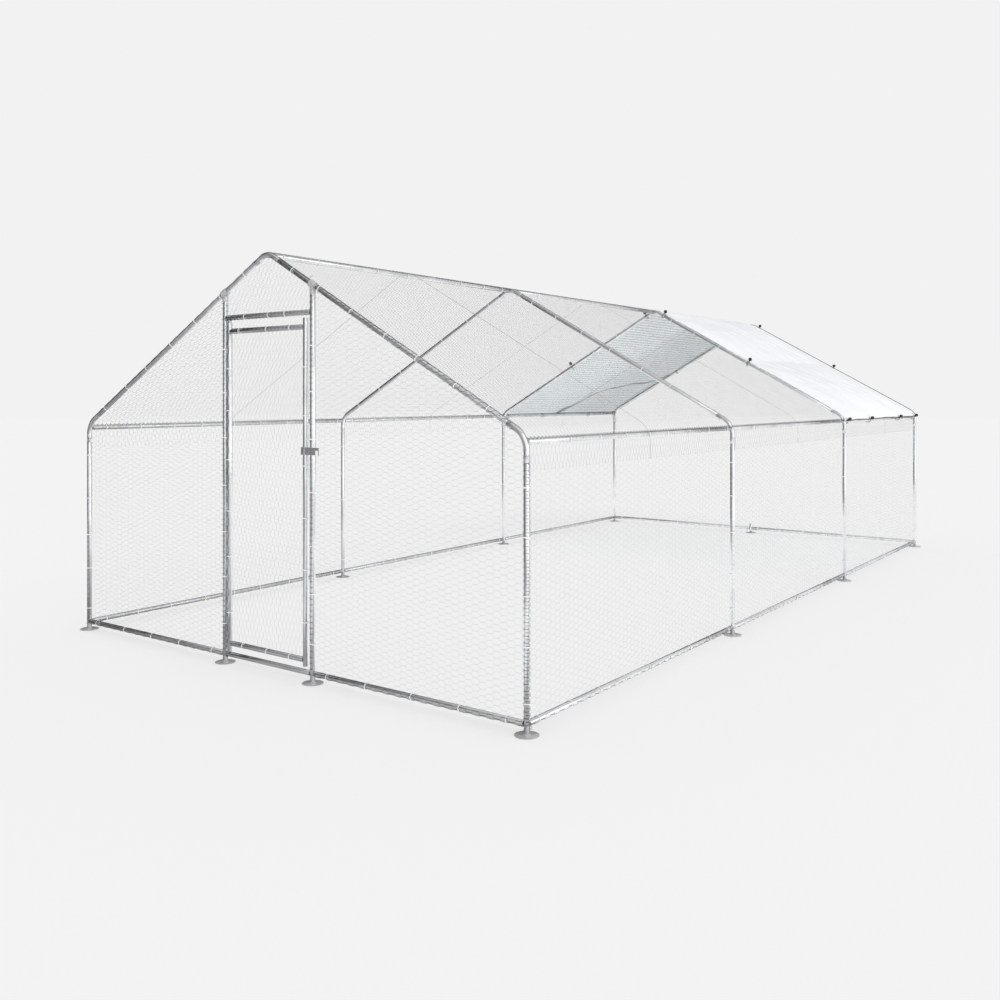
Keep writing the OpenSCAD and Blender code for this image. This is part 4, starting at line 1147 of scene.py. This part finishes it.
# Eyelets, elastic loops and balls of the cover's ties
eyelet = lathe_mesh("eyelet", [
    (EYELET_HOLE, -0.0013), (0.0098, -0.0013), (0.0102, -0.0009), (0.0102, 0.0004), (0.0094, 0.0011),
    (0.0078, 0.0014), (0.0067, 0.0009), (EYELET_HOLE, 0.0), (EYELET_HOLE, -0.0013)], 26)


def eyelet_places():
    """Eyelets on the sheet: the point, along the run and outwards."""
    spots = []
    for es, y in eyelet_spots():
        x0, z0 = (float(v) for v in over_roof(np.array(es), COVER_MID))
        x1, z1 = (float(v) for v in over_roof(np.array(es), COVER_MID + PROBE))
        for side in BOTH:
            spots.append(((side * x0, y, z0), (0, 1, 0), (side * (x1 - x0), 0, z1 - z0)))
    return spots


def tie_places():
    """Ties on the rafters and the eave purlins: the tube's axis point, its direction and outwards."""
    spots = []
    for side in BOTH:
        out = (side * SIN_P, 0, COS_P)
        for d in tie_rows:
            for y in ARCH_Y[2:]:
                at = on_slope(SLOPE_L - RIDGE_T - d, y, 0, side)
                spots.append((tuple(at), (side * COS_P, 0, -SIN_P), out))
        out = (side * math.cos(PURLIN_ANGLE), 0, math.sin(PURLIN_ANGLE))
        spots += [((side * PURLIN_X, y, PURLIN_Z), (0, 1, 0), out) for y in EAVE_TIES]
    return spots


BALL_STEPS, BALL_SEAM, BALL_SEAM_W, BALL_ROOM = 24, 0.0003, 0.06, 0.0001
HOLE_RIM, HOLE_R, HOLE_Z = 0.0028, 0.0026, 0.0105
LOOP_STEPS, LOOP_GAP = 40, 0.42
LOOP_TAIL = [Vector((0, -0.0056, 0.0205)), Vector((0, -0.0034, 0.0232)), Vector((0, -0.0016, 0.0275))]


def tie_ball():
    """Moulded ball with a parting line and a recessed hole at each pole."""
    profile = []
    for k in range(BALL_STEPS + 1):
        a = -math.pi / 2 + math.pi * k / BALL_STEPS
        r = BALL_R - BALL_ROOM + BALL_SEAM * math.exp(-(a / BALL_SEAM_W) ** 2)
        profile.append((max(r * math.cos(a), HOLE_RIM), BALL_R * math.sin(a)))
    low = [(0.0, -HOLE_Z), (HOLE_R, -HOLE_Z)]
    high = [(HOLE_R, HOLE_Z), (0.0, HOLE_Z)]
    mesh = lathe_mesh("tie_ball", low + profile + high, 32)
    mesh.transform(Matrix.Translation((0, 0, LOOP_R + CORD_R + BALL_ROOM + BALL_R)))
    return mesh


def tie_loop():
    """Elastic loop round the tube in the YZ plane, with both ends drawn up into the ball."""
    path = []
    for k in range(LOOP_STEPS + 1):
        a = math.pi / 2 + LOOP_GAP + (2 * math.pi - 2 * LOOP_GAP) * k / LOOP_STEPS
        path.append(Vector((0, LOOP_R * math.cos(a), LOOP_R * math.sin(a))))
    path = LOOP_TAIL[::-1] + path + [Vector((0, -p.y, p.z)) for p in LOOP_TAIL]
    mesh = path_mesh("tie_loop", [[(p, 1.0) for p in path]])
    obj = bars.make("tie_loop_stamp", mesh, Radius=CORD_R, Sides=10, Caps=True, Material=cord_black)
    loop = obj.data
    bpy.data.objects.remove(obj)
    return loop


rims = copies_piece(
    "cover_eyelet_rims", eyelet, eyelet_places(), eyelet_zinc, "run", ["cover_eyelets"])
hem = cover_hem()
copies_piece("tie_balls", tie_ball(), tie_places(), ball_black, "run", ["cover_balls"])
copies_piece("tie_loops", tie_loop(), tie_places(), cord_black, "run", ["cover_loops"])


# Clamps at the heads of the door posts
CLAMP_L, CLAMP_IN, CLAMP_OUT, CLAMP_ROUND = 0.036, 0.0128, 0.0182, 0.0012
SLEEVE_R, SLEEVE_L, SLEEVE_ROUND = 0.0143, 0.045, 0.0008


def clamp_pieces():
    """Ring for the rafter, sleeve for the post's head, and the flange and hexagon head of a bolt."""
    half, low, high = CLAMP_L / 2, CLAMP_ROUND - CLAMP_L / 2, CLAMP_L / 2 - CLAMP_ROUND
    ring = lathe_mesh("clamp_ring", [
        (CLAMP_IN, -half), (CLAMP_OUT - CLAMP_ROUND, -half), (CLAMP_OUT, low), (CLAMP_OUT, high),
        (CLAMP_OUT - CLAMP_ROUND, half), (CLAMP_IN, half), (CLAMP_IN, -half)], 40)
    sleeve = lathe_mesh("post_sleeve", [
        (0.0, -SLEEVE_L), (SLEEVE_R - SLEEVE_ROUND, -SLEEVE_L), (SLEEVE_R, SLEEVE_ROUND - SLEEVE_L),
        (SLEEVE_R, -HEAD_DROP), (CLAMP_IN, -0.0155), (0.0, -0.0145)], 36)
    flange = lathe_mesh("bolt_flange", [
        (0.0, -0.003), (0.0062, -0.003), (0.0062, 0.001), (0.005, 0.0014), (0.0, 0.0014)], 20)
    head = lathe_mesh("bolt_head", [
        (0.0, 0.0012), (0.0048, 0.0012), (0.0048, 0.0042), (0.0042, 0.0048), (0.0, 0.0048)], 6)
    return ring, sleeve, flange, head


def post_heads():
    """On each door post a clamp round the rafter, with the bolt's head in front and its nut behind."""
    ring, sleeve, flange, head = clamp_pieces()
    front = Matrix.Translation((0, -CLAMP_OUT, 0)) @ Matrix.Rotation(math.pi / 2, 4, "X")
    back = Matrix.Translation((0, CLAMP_OUT, 0)) @ Matrix.Rotation(-math.pi / 2, 4, "X")
    parts = []
    for side in BOTH:
        at = Matrix.Translation((side * DOOR_POST_X, FRONT_Y, RAFTER_AT_DOOR))
        lean = Matrix.Rotation(side * (math.pi / 2 + PITCH), 4, "Y")
        parts += [(ring, at @ lean), (sleeve, at)]
        parts += [(mesh, at @ turn) for mesh in (flange, head) for turn in (front, back)]
    mesh = joined_mesh("door_post_heads", parts)
    smooth_mesh(mesh)
    mesh.materials.append(foot_zinc)
    finish_piece(add_object("door_post_heads", mesh), "run", ["door_post_clamps"])


post_heads()


# Finishes of the nodes that stay as they are
for node, material in (
    ("door_upper_pivot", plated), ("door_lower_pivot", plated),
    ("hasp_plate", hasp_zinc), ("hasp_pin", plated), ("hasp_strap", hasp_zinc), ("staple", plated),
):
    obj = frame["nodes"][node]
    obj.data.materials.clear()
    obj.data.materials.append(material)


# Studio: floor, light and camera
BACKGROUND, FLOOR = (0.888, 0.888, 0.888), (0.9, 0.9, 0.9)
FLOOR_R, FLOOR_DROP, FLOOR_ROUGH = 60, 0.0005, 0.9
FLOOR_GLOW, FLOOR_BOUNCE, FLOOR_SHINE, FLOOR_SHARE = 0.8625, 1.5, 1.15, 0.6
UP, AHEAD = (0, 0, 1), (0, 1, 0)
BEHIND, RIGHT, AWAY = (-0.87, 0.49, 0.0), (0.809, 0.588, 0.0), (0.5, 0.866, 0.0)
# Levels that metal mirrors on each side, and the spans over which they change
MIRRORED_LEFT, MIRRORED_RIGHT, MIRRORED_FLOOR = 0.38, 1.42, 0.45
MIRRORED_BEHIND, SKY_RIGHT = 0.1, (-0.9, -0.1)
SKY_DIMMED = [(UP, (0.25, 0.75), 0.55), (BEHIND, (0.42, 0.7), MIRRORED_BEHIND), (AWAY, (0.75, 0.95), 0.74)]
FLOOR_FAR, FLOOR_LEFT, FLOOR_NEAR, FRONT_EDGE = (3.0, 9.0), (-3.5, -0.5), (0.1, 0.28), 3.1
# Lamps as name, direction of the light, strength and the softness of its shadows in degrees
LAMPS = [
    ("key_lamp", (-0.75, 0.25, -0.7), 0.38, 30),
    ("side_lamp", (-0.95, -0.3, -0.12), 0.3, 30),
    ("top_lamp", (0.1, -0.3, -1.0), 0.22, 90),
]
SENSOR_W, LENS, LENS_SHIFT = 36.0, 35.75, -0.1035
CAMERA_AT, CAMERA_TURN = (3.6826, -6.1757, 1.3146), math.radians(36.044)


def studio_floor():
    """Wide pale floor that keeps a soft shadow; metal mirrors it darker at the front edge, on the left
    and far behind the run."""
    work = bmesh.new()
    bmesh.ops.create_circle(work, cap_ends=True, segments=96, radius=FLOOR_R)
    mesh = mesh_from(work, "studio_floor")
    mesh.transform(Matrix.Translation((0, 0, -FLOOR_DROP)))
    finish = Finish("studio_floor", FLOOR, 0.0, FLOOR_ROUGH)
    finish.set("Specular IOR Level", 0.0)
    place = finish.place.outputs["Object"]
    far = finish.toward(place, BEHIND, FLOOR_FAR, FLOOR_SHINE, MIRRORED_BEHIND)
    left = finish.toward(place, RIGHT, FLOOR_LEFT, MIRRORED_LEFT, 1.0)
    ahead = finish.math("ADD", finish.math("DOT_PRODUCT", place, AHEAD), FRONT_EDGE)
    near = finish.ranged(finish.math("ABSOLUTE", ahead), MIRRORED_FLOOR, 1.0, FLOOR_NEAR, "SMOOTHSTEP")
    shine = finish.math("MULTIPLY", far, finish.math("MULTIPLY", left, near))
    direct = finish.seen("Is Camera Ray", "Is Transmission Ray")
    glossy = finish.seen("Is Glossy Ray")
    level = finish.mix(glossy, finish.mix(direct, FLOOR_BOUNCE, FLOOR_GLOW), shine)
    glow = finish.node("ShaderNodeEmission", Color=(1, 1, 1, 1), Strength=level)
    blend = finish.nodes.new("ShaderNodeMixShader")
    share = finish.math("MAXIMUM", glossy, FLOOR_SHARE)
    for socket, value in zip(blend.inputs, (share, finish.shader.outputs[0], glow.outputs[0])):
        finish.feed(value, socket)
    finish.feed(blend.outputs[0], finish.nodes["Material Output"].inputs["Surface"])
    mesh.materials.append(finish.material)
    add_object("studio_floor", mesh)


def studio_world():
    """Pale surround; metal mirrors it bright on the right, and dimmer on the left, above and far off."""
    world = bpy.data.worlds.new("studio")
    bpy.context.scene.world = world
    world.use_nodes = True
    net = Nodes(world.node_tree)
    sky = net.nodes["Background"]
    sky.inputs["Color"].default_value = (*BACKGROUND, 1)
    place = net.nodes.new("ShaderNodeTexCoord").outputs["Generated"]
    level = net.toward(place, RIGHT, SKY_RIGHT, MIRRORED_LEFT, MIRRORED_RIGHT)
    for way, span, dimmed in SKY_DIMMED:
        level = net.math("MULTIPLY", level, net.toward(place, way, span, 1.0, dimmed))
    net.feed(net.mix(net.seen("Is Glossy Ray"), 1.0, level), sky.inputs["Strength"])


def studio_lamp(name, toward, strength, spread):
    lamp = bpy.data.lights.new(name, "SUN")
    lamp.energy = strength
    lamp.angle = math.radians(spread)
    obj = add_object(name, lamp)
    obj.rotation_euler = Vector(toward).to_track_quat("-Z", "Y").to_euler()


def photo_camera():
    camera = bpy.data.cameras.new("photo_camera")
    camera.sensor_width = SENSOR_W
    camera.lens = LENS
    camera.shift_y = LENS_SHIFT
    obj = add_object("photo_camera", camera)
    obj.location = CAMERA_AT
    obj.rotation_euler = (math.pi / 2, 0, CAMERA_TURN)
    bpy.context.scene.camera = obj


studio_floor()
studio_world()
for lamp in LAMPS:
    studio_lamp(*lamp)
photo_camera()
bpy.context.scene.view_settings.view_transform = "Standard"
